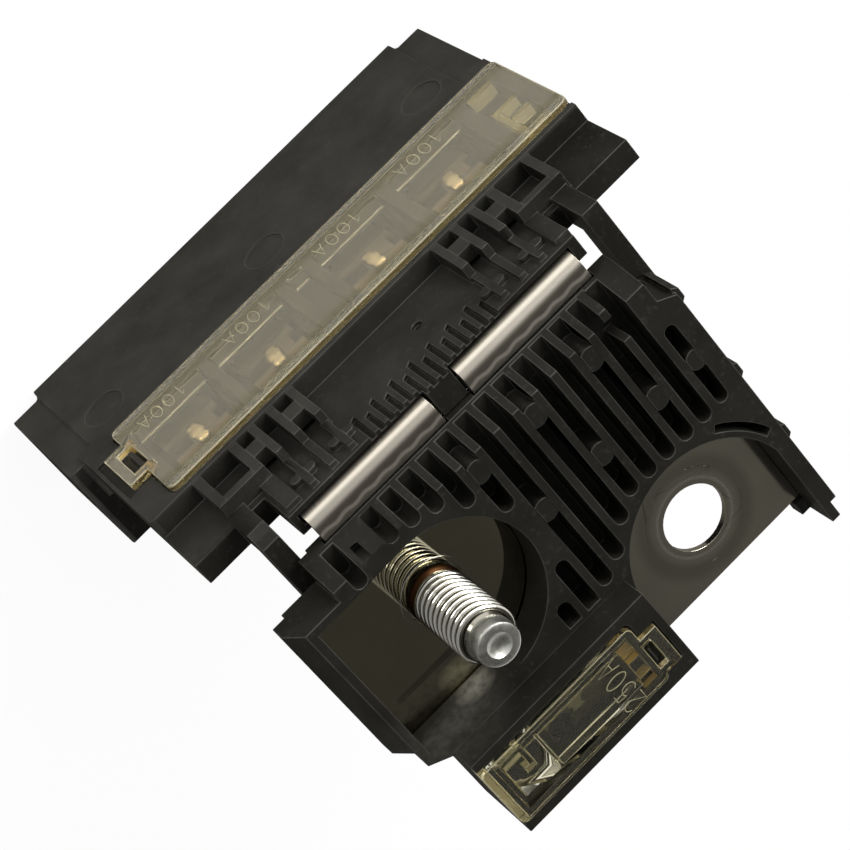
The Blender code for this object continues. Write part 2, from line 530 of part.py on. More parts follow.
def block_housing(mat):
    def base(bm):
        box(bm, BLOCK_X0, BLOCK_X1, RIM_Y, BACK_Y, LOW_TOP - 2, LEDGE_Z)
    ob = solid("block_housing", base, mat)
    wall_x0, wall_x1 = STRIPS[0][0] - 1.8, STRIPS[1][1] + 1.3

    def body(bm):
        box(bm, BLOCK_X0, BLOCK_X1, WALL_Y, BACK_Y, LEDGE_Z - 2, SHOULDER_Z)
        box(bm, wall_x0, wall_x1, WALL_Y, BACK_Y, SHOULDER_Z - 2, LEG_TOP + 0.7)
        box(bm, BLOCK_X0 + 0.2, LOW_X1, RIM_Y + 0.4, LOW_BACK, LOW_Z, LOW_TOP)
        box(bm, SLAB_X0, SLAB_X1, RIM_Y, LOW_BACK - 1.0, SLAB_Z, LOW_TOP - 0.6)
        for x0, x1 in ARMS:
            box(bm, x0, x1, LEG_Y, BACK_Y, LEG_TIP - 1, -BASE - GAP)
            box(bm, x0, x1, BACK_Y - 1, FRONT + 9.0, -BASE - GAP - 4.2, -BASE - GAP)
        box(bm, BRIDGE_X0, BRIDGE_X1, WALL_Y, RIB_FOOT - GAP, LEG_TOP - 2, -0.6)
        box(bm, BRIDGE_X0 - 1.6, BRIDGE_X1 + 1.6, BACK_Y - 1, RIB_FOOT - GAP, LEG_TOP - 1.5, -SHEET - GAP - 0.05)
    join(ob, body)

    def seat(bm):
        prism(bm, round_pts(COVER_X0 - 4, COVER_X1 + GAP, COVER_Z0 - GAP, COVER_Z1 + GAP, 1.4), RIM_Y - 1, SEAT_Y, "Y")
        box(bm, COVER_X1 - 1, COVER_X1 + LOOP_OUT + 0.4 + GAP + 0.9, RIM_Y - 1, SEAT_Y, LATCH_Z - LATCH_H - 1.2,
            LATCH_Z + LATCH_H + 1.2)
    cut(ob, seat)

    def fronts(bm):
        bars, cross, tops = frame_bars()
        for x0, x1 in bars:
            box(bm, x0, x1, RIM_Y + 0.3, WALL_Y + 1, LEDGE_Z - 1, LEG_TIP)
        for x0, x1 in cross:
            box(bm, x0, x1, RIM_Y + 0.32, LEG_Y + 0.2, LEG_TIP - 5.9, LEG_TIP - 2.9)
        for x0, x1 in tops:
            box(bm, x0, x1, RIM_Y + 0.34, WALL_Y + 1, LEG_TIP - 1.5, LEG_TIP)
        # the wedge that the long cover's loop snaps over
        y = SEAT_Y + 0.4
        prism(bm, [(COVER_X1 - 0.4, y), (COVER_X1 + 0.9, y), (COVER_X1 + 0.2, SEAT_Y - 0.9),
                   (COVER_X1 - 0.4, SEAT_Y - 0.9)], LATCH_Z - 2.2, LATCH_Z + 2.2, "Z")
    join(ob, fronts)

    def legs(bm):
        for s in (-1, 1):
            for d, w in ((13.15, 1.1), (16.4, 1.2), (19.7, 1.1), (23.2, 2.3)):
                x = MID + s * d
                box(bm, x - w / 2, x + w / 2, LEG_Y, WALL_Y + 1, LEG_TIP - 0.5, LEG_TOP)
            for d in (13.15, 19.7):
                x, z = MID + s * d, LEG_TIP + 4.6
                prism(bm, round_pts(x - 2.0, x + 2.0, z - 0.8, z + 0.8, 0.75, 3), LEG_Y + 0.05, WALL_Y + 0.5, "Y")
    join(ob, legs)

    def grooves(bm):
        # fine comb along the top of the recessed wall between the frames
        n = 14
        for i in range(n):
            x = MID + (i - (n - 1) / 2) * RIB_PITCH / 2
            z = LEG_TOP - (COMB_H if i % 2 else COMB_H - 1.6)
            prism(bm, [(x - 0.4, LEG_TOP + 2), (x + 0.4, LEG_TOP + 2), (x + 0.4, z), (x - 0.4, z - 0.5)],
                  WALL_Y - 1, WALL_Y + 0.6, "Y")
        prism(bm, circle_pts(MID - 3.8, SHOULDER_Z - 3.6, DIMPLE_R, 14), WALL_Y - 1, WALL_Y + 0.6, "Y")
        # round marks left by the ejector pins in the lower front face
        for x in EJECTOR_X:
            prism(bm, circle_pts(x, EJECTOR_Z, EJECTOR_R, 28), RIM_Y - 1, RIM_Y + 0.2, "Y")
        # corner of the arm beside the stud, cut off in front
        a, b = ARMS[1]
        prism(bm, [(LEG_Y - 1, -BASE - 3.4), (LEG_Y - 1, 1), (LEG_Y + 2.4, 1), (LEG_Y + 2.4, -BASE - GAP + 0.5)],
              a - 0.5, b + 0.5, "X")
    cut(ob, grooves)

    def window(bm):
        for a, b in CELLS:
            box(bm, a, b, RIM_Y - 1, SEAT_Y + SKIRT + 0.4, CELL_BOT, CELL_TOP)
        for z in LATCH_LEGS:
            box(bm, CELLS[-1][1] - 0.5, COVER_X1 + 0.2, RIM_Y - 1, SEAT_Y + SKIRT + 0.1, z - LEG_HALF - 0.3,
                z + LEG_HALF + 0.3)
        for x in LINK_X:
            box(bm, x - LINK_W / 2 - 1.2, x + LINK_W / 2 + 1.2, SEAT_Y + SKIRT, SHEET_Y + SHEET + 0.9,
                LINK_BOT, CELL_TOP - 0.9)
    cut(ob, window)

    def cavities(bm):
        for x in LINK_X:
            prism(bm, round_pts(x - SOCKET_W / 2, x + SOCKET_W / 2, RIM_Y + 2.2, LOW_BACK - 1.8, 0.8, 2),
                  SLAB_Z - 1, COVER_Z0 - 5.0)
            box(bm, x - BLADE_W / 2 - GAP, x + BLADE_W / 2 + GAP, SHEET_Y - GAP, SHEET_Y + BLADE_T + GAP,
                COVER_Z0 - 6.0, CELL_BOT + 1.0)
        # room for the hanging part of the bus bar
        box(bm, BAND_X0 - GAP, BAND_X1 + GAP, SHEET_Y - GAP, SHEET_Y + SHEET + GAP, FORK - GAP,
            LEDGE_Z + 2.0 + GAP)
        for x in LINK_X:
            box(bm, x - LINK_W / 2 - GAP, x + LINK_W / 2 + GAP, SHEET_Y - GAP, SHEET_Y + SHEET + GAP,
                LINK_TOP - 1, FORK)
        for x0, x1 in STRIPS:
            box(bm, x0 - GAP, x1 + GAP, SHEET_Y - GAP, SHEET_Y + SHEET + GAP, LEDGE_Z + 1, 1)
    cut(ob, cavities)
    return ob


def link_and_outlet(i, x, mats):
    """One rated strip with its tin pellet and the outgoing blade below it."""
    y0 = SHEET_Y
    t = 0.6
    z_top, z_bot = LINK_TOP - GAP, LINK_BOT + 2.4 + GAP
    foot = 1.6

    def outline():
        h = LINK_W / 2
        n = 1.1
        zm = (z_top + z_bot) / 2
        return [(x - h, z_top), (x - h, z_top - foot), (x - n, z_top - foot), (x - n, zm + 1.2), (x - h + 1.2, zm + 1.2),
                (x - h + 1.2, z_bot + foot), (x - h, z_bot + foot), (x - h, z_bot), (x + h, z_bot),
                (x + h, z_bot + foot), (x - h + 3.4, z_bot + foot), (x - h + 3.4, zm - 0.8), (x + n, zm - 0.8),
                (x + n, z_top - foot), (x + h, z_top - foot), (x + h, z_top)]
    link = solid("link_%d" % i, lambda bm: prism(bm, outline(), y0 + 0.2, y0 + 0.2 + t, "Y"), mats["strip"])
    zp = z_top - 1.0
    pel = solid("pellet_%d" % i,
                lambda bm: prism(bm, round_pts(x - 1.2, x + 1.2, zp - 2.6, zp + 2.6, 0.8, 3), y0 - 1.4, y0 - GAP,
                                 "Y"), mats["tin"])
    bevel(pel, 0.4, 2)

    def blade(bm):
        w = BLADE_W / 2
        pts = [(x - LINK_W / 2, z_bot - GAP), (x - LINK_W / 2, LINK_BOT + 0.4), (x - w, LINK_BOT + 0.4),
               (x - w, LOW_Z + 6.0), (x - w + 1.2, LOW_Z + 4.0), (x + w - 1.2, LOW_Z + 4.0), (x + w, LOW_Z + 6.0),
               (x + w, LINK_BOT + 0.4), (x + LINK_W / 2, LINK_BOT + 0.4), (x + LINK_W / 2, z_bot - GAP)]
        prism(bm, pts, SHEET_Y, SHEET_Y + BLADE_T, "Y")
    out = solid("outlet_%d" % i, blade, mats["tinned"])
    return link, pel, out


def set_origin(ob, point):
    """Moves the object's origin to a point without moving its shape."""
    p = Vector(point) * MM
    for v in ob.data.vertices:
        v.co -= p
    ob.location = p


def main():
    for ob in list(bpy.data.objects):
        bpy.data.objects.remove(ob, do_unlink=True)
    black = material("black_plastic", (0.02, 0.02, 0.019), 0.42)
    tinned = material("tin_plated", (0.55, 0.54, 0.5), 0.3, 1.0)
    steel = material("zinc_steel", (0.62, 0.6, 0.54), 0.25, 1.0)
    strip = material("link_alloy", (0.6, 0.55, 0.42), 0.35, 1.0)
    tin = material("tin", (0.8, 0.8, 0.78), 0.2, 1.0)
    clear = material("clear_cover", (0.75, 0.72, 0.5), 0.1)
    clear.node_tree.nodes["Principled BSDF"].inputs["Transmission Weight"].default_value = 0.9
    bus_bar(tinned)
    plate_housing(black)
    stud_plate(tinned)
    stud(steel)
    main_link(strip, tin)
    ob, pivot = small_cover(clear)
    set_origin(ob, pivot)
    block_housing(black)
    ob, pivot = long_cover(clear)
    set_origin(ob, pivot)
    for i, x in enumerate(LINK_X):
        link_and_outlet(i + 1, x, {"strip": strip, "tin": tin, "tinned": tinned})


main()
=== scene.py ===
# %% [markdown]
# # Dressing a battery-post fuse holder
# The CAD model gives every solid its true place. This lesson turns it into something that looks real:
# black moulded plastic with a fine grain, bright tin plate, a threaded zinc stud and clear covers with
# their ratings moulded in. Every length below is in millimetres and turned into metres with MM.

# %% Load the frame
import math
import bpy
import bmesh
from mathutils import Matrix, Vector


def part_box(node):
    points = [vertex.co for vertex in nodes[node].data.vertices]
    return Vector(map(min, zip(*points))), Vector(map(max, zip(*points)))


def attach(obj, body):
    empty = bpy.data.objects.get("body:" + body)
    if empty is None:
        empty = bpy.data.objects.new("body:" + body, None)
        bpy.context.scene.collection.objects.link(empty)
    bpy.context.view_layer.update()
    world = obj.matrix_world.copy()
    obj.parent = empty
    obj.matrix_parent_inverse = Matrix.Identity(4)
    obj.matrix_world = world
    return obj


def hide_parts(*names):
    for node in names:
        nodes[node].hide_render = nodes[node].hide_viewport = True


MM = 0.001
PER_METRE = 1000.0
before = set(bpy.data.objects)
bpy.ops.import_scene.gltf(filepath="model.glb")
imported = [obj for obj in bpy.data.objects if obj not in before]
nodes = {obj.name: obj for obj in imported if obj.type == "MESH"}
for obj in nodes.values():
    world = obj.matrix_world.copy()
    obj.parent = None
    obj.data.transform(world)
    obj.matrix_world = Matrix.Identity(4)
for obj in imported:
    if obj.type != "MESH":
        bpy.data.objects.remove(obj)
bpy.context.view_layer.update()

# %% [markdown]
# ## The camera
# A photograph of a known object fixes its camera: the line of sight, the roll and the lens were worked
# out from the bolt hole, the ribs and the long edges. The camera is made first, so that each piece can
# be judged from the same place as the photograph. Its matrix columns are its right, up and back vectors.

# %% Make the camera
CAM_PLACE = Vector((59.8, -254.0, 337.4)) * MM
CAM_RIGHT = Vector((-0.7048355, 0.5559022, 0.4406582))
CAM_UP = Vector((-0.7018706, -0.6366012, -0.3195568))
CAM_BACK = Vector((0.1028812, -0.5345200, 0.8388706))
CAM_LENS, SENSOR_W = 140.02, 36.0
CLIP_NEAR, CLIP_FAR = 0.01, 20.0         # in metres


def new_object(name, data):
    """An object for some data, linked into the scene."""
    ob = bpy.data.objects.new(name, data)
    bpy.context.scene.collection.objects.link(ob)
    return ob


def make_camera():
    data = bpy.data.cameras.new("photo_camera")
    data.sensor_fit = "HORIZONTAL"
    data.sensor_width = SENSOR_W
    data.lens = CAM_LENS
    data.clip_start, data.clip_end = CLIP_NEAR, CLIP_FAR
    cam = new_object("photo_camera", data)
    turn = Matrix((CAM_RIGHT, CAM_UP, CAM_BACK)).transposed().to_4x4()
    cam.matrix_world = Matrix.Translation(CAM_PLACE) @ turn
    bpy.context.scene.camera = cam
    return cam


camera = make_camera()
print("camera at", [round(x / MM, 1) for x in camera.location], "lens", round(camera.data.lens, 2))

# %% [markdown]
# ## Small helpers for node trees
# Shader and geometry trees are both built from nodes and links. One helper adds a node and sets its
# inputs by name; a value that is itself a socket is linked instead of copied. That keeps a whole
# material down to a few readable lines.


# %% Node helpers
def feed(tree, sock, value):
    """Links a socket to an input, or copies a plain value into it."""
    if isinstance(value, bpy.types.NodeSocket):
        tree.links.new(value, sock)
    else:
        sock.default_value = value


def add(tree, kind, props=None, **inputs):
    """Adds a node and feeds its inputs by name; i0, i1 and so on stand for an input's number."""
    node = tree.nodes.new(kind)
    for key, value in (props or {}).items():
        setattr(node, key, value)
    for key, value in inputs.items():
        number = key[1:] if key[0] == "i" else ""
        feed(tree, node.inputs[int(number) if number.isdigit() else key.replace("_", " ")], value)
    return node


def maths(tree, how, a, b=0.0):
    return add(tree, "ShaderNodeMath", {"operation": how}, i0=a, i1=b).outputs[0]


def plus(tree, a, b):
    return maths(tree, "ADD", a, b)


def minus(tree, a, b):
    return maths(tree, "SUBTRACT", a, b)


def times(tree, a, b):
    return maths(tree, "MULTIPLY", a, b)


def vector(tree, how, a, b=(0.0, 0.0, 0.0)):
    return add(tree, "ShaderNodeVectorMath", {"operation": how}, i0=a, i1=b)


print("node helpers add() to vector() are ready")

# %% Masks and mixes
COLOUR_A, COLOUR_B, COLOUR_OUT = 6, 7, 2         # sockets of the Mix node when it mixes colours


def blend(tree, fac, a, b):
    """Mixes two colours by a factor; a plain colour is a tuple of three numbers."""
    node = add(tree, "ShaderNodeMix", {"data_type": "RGBA"}, i0=fac)
    for number, colour in ((COLOUR_A, a), (COLOUR_B, b)):
        feed(tree, node.inputs[number], (*colour, 1.0) if isinstance(colour, tuple) else colour)
    return node.outputs[COLOUR_OUT]


def span(tree, value, low, high, to_low=0.0, to_high=1.0):
    """Maps low..high to to_low..to_high, and holds the end values beyond."""
    node = add(tree, "ShaderNodeMapRange", None, Value=value, From_Min=low, From_Max=high,
               To_Min=to_low, To_Max=to_high)
    return node.outputs[0]


def between(tree, value, rise, full, fall, gone):
    """A mask that rises from 0 to 1, stays there and falls to 0 again."""
    return times(tree, span(tree, value, rise, full), span(tree, value, fall, gone, 1.0, 0.0))


def line_at(tree, value, at, full, gone, top=1.0):
    """A line where a value is at a given level: whole within full of it, gone beyond."""
    return span(tree, maths(tree, "ABSOLUTE", minus(tree, value, at)), full, gone, top, 0.0)


def new_group(name, kind, ins, outs):
    """A node group with named sockets. ins and outs are (name, type, default) lists."""
    tree = bpy.data.node_groups.new(name, kind)
    for way, socks in (("INPUT", ins), ("OUTPUT", outs)):
        for label, sort, *rest in socks:
            s = tree.interface.new_socket(label, in_out=way, socket_type="NodeSocket" + sort)
            if rest:
                s.default_value = rest[0]
    return tree, tree.nodes.new("NodeGroupInput").outputs, tree.nodes.new("NodeGroupOutput").inputs


def on_piece(tree):
    """Object coordinates: the shaded point in the piece's own frame, in metres."""
    return add(tree, "ShaderNodeTexCoord").outputs["Object"]


print("mask helpers blend() to on_piece() are ready")

# %% [markdown]
# ## Shared shader groups
# Five effects come back in several finishes or places, so each is a group that is built once:
# *speckle* is a soft noise pushed to a mask, for mottling, dust and stains;
# *streaks* is the same noise stretched along one axis, for rolling lines and fine scratches;
# *grain* is a height for a Bump node, the fine spark-eroded skin of a moulding;
# *ring line* is a thin circle in the XZ plane, for a painted highlight on the rims of the marks that
# round ejector pins leave;
# *soft spot* is a round soft patch, for pale dust and for a painted reflection.
# They read Object coordinates. Every piece sits at the origin, so a pattern stays where it is put.


# %% Noise groups: speckle, streaks and grain
def make_speckle():
    tree, i, o = new_group("speckle", "ShaderNodeTree",
                           [("Size mm", "Float", 1.0), ("Low", "Float", 0.4), ("High", "Float", 0.6),
                            ("Detail", "Float", 3.0), ("Shift", "Float", 0.0)], [("Mask", "Float")])
    noise = add(tree, "ShaderNodeTexNoise", {"noise_dimensions": "4D"}, Vector=on_piece(tree),
                W=i["Shift"], Scale=maths(tree, "DIVIDE", PER_METRE, i["Size mm"]), Detail=i["Detail"],
                Roughness=0.55)
    tree.links.new(span(tree, noise.outputs[0], i["Low"], i["High"]), o["Mask"])
    return tree


def make_streaks():
    tree, i, o = new_group("streaks", "ShaderNodeTree",
                           [("Stretch", "Vector", (20.0, 1500.0, 1500.0)), ("Low", "Float", 0.4),
                            ("High", "Float", 0.6), ("Detail", "Float", 2.0)],
                           [("Mask", "Float"), ("Height", "Float")])
    place = vector(tree, "MULTIPLY", on_piece(tree), i["Stretch"]).outputs[0]
    noise = add(tree, "ShaderNodeTexNoise", None, Vector=place, Scale=1.0, Detail=i["Detail"],
                Roughness=0.6)
    tree.links.new(span(tree, noise.outputs[0], i["Low"], i["High"]), o["Mask"])
    tree.links.new(noise.outputs[0], o["Height"])
    return tree


def make_grain():
    """Fine noise plus a share of one that is nine times as wide."""
    tree, i, o = new_group("grain", "ShaderNodeTree",
                           [("Size mm", "Float", 0.2), ("Coarse", "Float", 0.3)], [("Height", "Float")])
    where = on_piece(tree)
    scale = maths(tree, "DIVIDE", PER_METRE, i["Size mm"])
    fine = add(tree, "ShaderNodeTexNoise", None, Vector=where, Scale=scale, Detail=2.0,
               Roughness=0.6).outputs[0]
    wide = add(tree, "ShaderNodeTexNoise", None, Vector=where, Scale=maths(tree, "DIVIDE", scale, 9.0),
               Detail=2.0).outputs[0]
    tree.links.new(plus(tree, fine, times(tree, wide, i["Coarse"])), o["Height"])
    return tree


speckle, streaks, grain = make_speckle(), make_streaks(), make_grain()
print("noise groups:", speckle.name, streaks.name, grain.name)

# %% Marks: ring line and soft spot
CENTRE_AND_RADIUS = [("Centre", "Vector", (0.0, 0.0, 0.0)), ("Radius", "Float", 0.003)]


def make_ring_line():
    tree, i, o = new_group("ring_line", "ShaderNodeTree", CENTRE_AND_RADIUS, [("Mask", "Float")])
    away = vector(tree, "SUBTRACT", on_piece(tree), i["Centre"]).outputs[0]
    flat = vector(tree, "MULTIPLY", away, (1.0, 0.0, 1.0)).outputs[0]
    far = vector(tree, "LENGTH", flat).outputs["Value"]
    tree.links.new(line_at(tree, far, i["Radius"], 0.05 * MM, 0.2 * MM), o["Mask"])
    return tree


def make_soft_spot():
    tree, i, o = new_group("soft_spot", "ShaderNodeTree", CENTRE_AND_RADIUS, [("Mask", "Float")])
    where = on_piece(tree)
    away = vector(tree, "DISTANCE", where, i["Centre"]).outputs["Value"]
    near = span(tree, maths(tree, "DIVIDE", away, i["Radius"]), 0.35, 1.0, 1.0, 0.0)
    rough = add(tree, "ShaderNodeTexNoise", None, Vector=where, Scale=900.0, Detail=3.0).outputs[0]
    tree.links.new(times(tree, near, span(tree, rough, 0.35, 0.6, 0.45, 1.0)), o["Mask"])
    return tree


ring_line, soft_spot = make_ring_line(), make_soft_spot()
print("mark groups:", ring_line.name, soft_spot.name)

# %% [markdown]
# ## Starting a material
# Every finish starts from one Principled shader. A number that is the same all over, such as the level
# of the gloss, goes straight on the shader's own socket; only what changes over the surface is linked.
# Three small helpers start a material, place a shared group in it and add a bump.


# %% Start a material
def start(name, **sockets):
    """A material with one Principled shader; plain numbers go on its own sockets."""
    mat = bpy.data.materials.new(name)
    mat.use_nodes = True
    tree = mat.node_tree
    shader = tree.nodes["Principled BSDF"]
    for key, value in sockets.items():
        shader.inputs[key.replace("_", " ")].default_value = value
    return mat, tree, shader


def use(tree, group, **inputs):
    """Places a shared group with its own values."""
    node = tree.nodes.new("ShaderNodeGroup")
    node.node_tree = group
    for key, value in inputs.items():
        node.inputs[key.replace("_", " ")].default_value = value
    return node


def bump(tree, shader, height, depth, strength):
    """Turns a height into a normal; the depth is in millimetres."""
    node = add(tree, "ShaderNodeBump", None, Height=height, Strength=strength, Distance=depth * MM)
    tree.links.new(node.outputs[0], shader.inputs["Normal"])


def coordinates(tree):
    """X, Y and Z of the shaded point in the piece's own frame, in millimetres."""
    place = add(tree, "ShaderNodeVectorMath", {"operation": "SCALE"}, Scale=PER_METRE,
                i0=on_piece(tree)).outputs[0]
    return add(tree, "ShaderNodeSeparateXYZ", None, Vector=place).outputs


print("material helpers start() to coordinates() are ready")

# %% [markdown]
# ## Black moulded plastic
# Glass-filled nylon is nearly black, a little warm, and greys where light grazes it. Its skin has a
# very fine grain, cloudy patches of gloss from the mould, and pale dust in places. The block's front
# and the recess above it are painted greyer, as painted light from the front, and the rims of faint
# round pin marks get a painted highlight. In a corner of the stud's tray lie pale dust and a painted
# reflection of the stud. Rounded corners are paler than the faces, partly edge wear and partly painted
# highlight, so the recipe is used once more for edges.


# %% Where light is painted on the plastic
# painted light: the block's front and part of the recess are painted greyer than the rest
FRONT_Y, RECESS_Y = (-44.8, -44.6), (-42.1, -41.9)       # where each mask is whole, and where it is gone
RECESS_X = (-15.0, -12.0)                                # the recess is rubbed beyond this
RECESS_LEVEL, FRONT_LIGHT_LEVEL = 0.6, 0.85


def painted_front_light(tree):
    """Painted light: the block's front face and the recess beside the legs are painted greyer, but not
    the step at the -X end.
    """
    x, y, _ = coordinates(tree)
    front = span(tree, y, *FRONT_Y, 1.0, 0.0)
    recess = times(tree, span(tree, y, *RECESS_Y, 1.0, 0.0), span(tree, x, *RECESS_X, 0.0, RECESS_LEVEL))
    return times(tree, maths(tree, "MAXIMUM", front, recess), FRONT_LIGHT_LEVEL)


print("lit faces at y", FRONT_Y[0], "and", RECESS_Y[0])

# %% Mix the plastic
# the lit colours of the block's front, painted light
LIT_FRONT_DARK, LIT_FRONT_PALE = (0.0195, 0.0188, 0.0163), (0.0305, 0.0294, 0.0255)
# the first colour is for dust and the painted highlight on pin-mark rims; the second for pale dust and a
# painted reflection of the stud
DUST_AND_RIM_HIGHLIGHT_TONE, DUST_AND_REFLECTION_TONE = (0.055, 0.053, 0.047), (0.15, 0.142, 0.115)
DUST_LEVEL, RING_LEVEL = 0.35, 0.45


def moulded(name, dark, pale, rough, shine, rings=(), spots_of_dust_and_reflection=(), front=False):
    """Rings are pin marks (x, z, radius) with a painted highlight on each rim; spots (x, y, z, radius,
    level) are pale dust and a painted reflection of the stud; all in millimetres.
    """
    mat, tree, shader = start(name, Specular_IOR_Level=shine)
    cloud = use(tree, speckle, Size_mm=7.0, Low=0.32, High=0.7, Detail=4.0).outputs[0]
    dust = use(tree, speckle, Size_mm=0.7, Low=0.57, High=0.8, Shift=3.0).outputs[0]
    dust_and_rim_mask = times(tree, dust, DUST_LEVEL)
    # painted highlight: a pale line on the rim of each pin mark, mixed with the dust
    for x, z, radius in rings:
        ring = use(tree, ring_line, Centre=(x * MM, 0.0, z * MM), Radius=radius * MM)
        dust_and_rim_mask = maths(tree, "MAXIMUM", dust_and_rim_mask, times(tree, ring.outputs[0], RING_LEVEL))
    body = blend(tree, cloud, dark, pale)
    if front:
        # painted light on the block's front and its recess
        body = blend(tree, painted_front_light(tree), body, blend(tree, cloud, LIT_FRONT_DARK, LIT_FRONT_PALE))
    body = blend(tree, dust_and_rim_mask, body, DUST_AND_RIM_HIGHLIGHT_TONE)
    # pale spots: dust, and a painted reflection of the stud on the tray wall
    for x, y, z, radius, level in spots_of_dust_and_reflection:
        spot = use(tree, soft_spot, Centre=Vector((x, y, z)) * MM, Radius=radius * MM)
        body = blend(tree, times(tree, spot.outputs[0], level), body, DUST_AND_REFLECTION_TONE)
    tree.links.new(body, shader.inputs["Base Color"])
    tree.links.new(span(tree, cloud, 0.0, 1.0, rough + 0.06, rough - 0.05), shader.inputs["Roughness"])
    bump(tree, shader, use(tree, grain, Size_mm=0.2, Coarse=0.6).outputs[0], 0.012, 0.5)
    return mat


PIN_MARKS = [(x, -49.0, 3.15) for x in (-16.3, 13.3, 43.2)]
# the first spot is a painted reflection of the stud on the tray wall; the second, broad and faint, is
# pale dust
DUST_AND_REFLECTION_SPOTS = [(35.6, -7.8, 1.8, 3.6, 1.0), (41.0, -8.2, 2.2, 10.0, 0.2)]
plastic = moulded("moulded_black", (0.0093, 0.0089, 0.0074), (0.0152, 0.0146, 0.0121), 0.42, 0.08,
                  spots_of_dust_and_reflection=DUST_AND_REFLECTION_SPOTS)
block_plastic = moulded("moulded_black_block", (0.0075, 0.007, 0.0057), (0.0135, 0.0126, 0.0103), 0.42,
                        0.12, PIN_MARKS, front=True)
# the edge finish: paler, partly edge wear and partly a painted highlight on the rounded edges
plastic_edge = moulded("moulded_black_edge", (0.018, 0.0172, 0.0148), (0.045, 0.0432, 0.0378), 0.35, 0.2)
print("plastic:", plastic.name, block_plastic.name, plastic_edge.name)

# %% [markdown]
# ## Plated metals
# Tin plate is a white metal with a faint yellow cast. The sheet was rolled, which leaves fine lines
# along X, and it carries soft grey stains. At the pad pressed at the bolt hole a painted highlight makes
# a bright lip and painted shade a dark ring. The bends are matt, with a scalloped line where the ribs
# meet them, and their colour is darkened as painted shade; the strips are darker again where they go
# into the block. The zinc of the stud is brighter and whiter, with painted shade in the valleys of its
# thread. A metal's colour is its reflection colour, so these values are high, and its look comes from
# the roughness. Each zone is a mask from the place of the point.


# %% Zones of the sheet and of the stud
RIB_PITCH, STUD_X, STUD_Y = 3.27, 31.2, -20.1
PAD_LIP_HIGHLIGHT, PAD_RING_SHADE = (5.2, 5.5, 5.6, 6.0), (6.2, 7.0, 8.0, 9.4)       # radii: rise, full, fall, gone
BEND_Y = (-37.4, -37.0)                                              # the sheet bends down beyond this
SCALLOP_Y, SCALLOP_DEEP, SCALLOP_MATT = -38.2, 0.12, 0.2
IN_BLOCK_Z = (-20.5, -19.5)                                          # the strips enter the block here
BEND_MATT, LIP_MATT = 0.2, 0.15
THREAD_VALLEY, THREAD_CREST = 3.4, 3.85


def from_axis(tree, x0, y0):
    """Distance from an upright axis, in millimetres."""
    x, y, _ = coordinates(tree)
    dx, dy = minus(tree, x, x0), minus(tree, y, y0)
    return maths(tree, "SQRT", plus(tree, times(tree, dx, dx), times(tree, dy, dy)))


def sheet_zones(tree, tone):
    """Painted highlight on the lip and painted shade in the ring at the bolt hole, matt bends darkened as
    painted shade with a scalloped line, and darker strips where they go into the block.
    """
    x, y, z = coordinates(tree)
    away = from_axis(tree, 0.0, 0.0)
    lip, ring = between(tree, away, *PAD_LIP_HIGHLIGHT), between(tree, away, *PAD_RING_SHADE)
    # painted shade in the dark ring and a painted highlight on the bright lip, in place of the pressed
    # pad's relief
    tone = blend(tree, times(tree, ring, 0.45), tone, (0.36, 0.34, 0.3))
    tone = blend(tree, times(tree, lip, 0.5), tone, (1.0, 0.98, 0.9))
    # painted shade: the bends' colour is darkened, as the same tin catches brighter surroundings there
    bent = span(tree, y, *BEND_Y, 1.0, 0.0)
    tone = blend(tree, bent, tone, (0.48, 0.441, 0.374))
    # darker where the strips go down into the block
    tone = blend(tree, span(tree, z, *IN_BLOCK_Z, 1.0, 0.0), tone, (0.13, 0.12, 0.1))
    wave = maths(tree, "COSINE", times(tree, x, 2 * math.pi / RIB_PITCH))
    wavy = plus(tree, y, times(tree, wave, SCALLOP_DEEP))
    scallop = line_at(tree, wavy, SCALLOP_Y, 0.12, 0.45, top=SCALLOP_MATT)
    matt = times(tree, bent, plus(tree, scallop, BEND_MATT))
    return tone, plus(tree, matt, times(tree, lip, LIP_MATT))


def thread_zones(tree, tone):
    """Painted shade keeps the valleys of the thread dark, the crests are bright."""
    valley_shade = span(tree, from_axis(tree, STUD_X, STUD_Y), THREAD_VALLEY, THREAD_CREST, 0.85, 0.0)
    return blend(tree, valley_shade, tone, (0.1, 0.09, 0.065)), 0.0


print("zones: lip", PAD_LIP_HIGHLIGHT, "ring", PAD_RING_SHADE, "bends beyond y", BEND_Y[1])


# %% Mix the metals
def plated(name, colour, stain, rough, lines=(5.0, 1600.0, 1600.0), depth=0.0015, patch=9.0, zones=None):
    """Stains in patches, fine lines stretched along one axis, and zones with their own tone and matt."""
    mat, tree, shader = start(name, Metallic=1.0)
    cloud = use(tree, speckle, Size_mm=patch, Low=0.35, High=0.75, Detail=5.0, Shift=1.0).outputs[0]
    line = use(tree, streaks, Stretch=lines, Low=0.3, High=0.7)
    tone = blend(tree, times(tree, cloud, 0.6), colour, stain)
    extra = 0.0
    if zones:
        tone, extra = zones(tree, tone)
    tree.links.new(tone, shader.inputs["Base Color"])
    both = plus(tree, times(tree, cloud, 0.5), times(tree, line.outputs[0], 0.5))
    matt = span(tree, both, 0.0, 1.0, rough * 0.75, rough * 1.4)
    tree.links.new(plus(tree, matt, extra), shader.inputs["Roughness"])
    bump(tree, shader, line.outputs[1], depth, 0.6)
    return mat


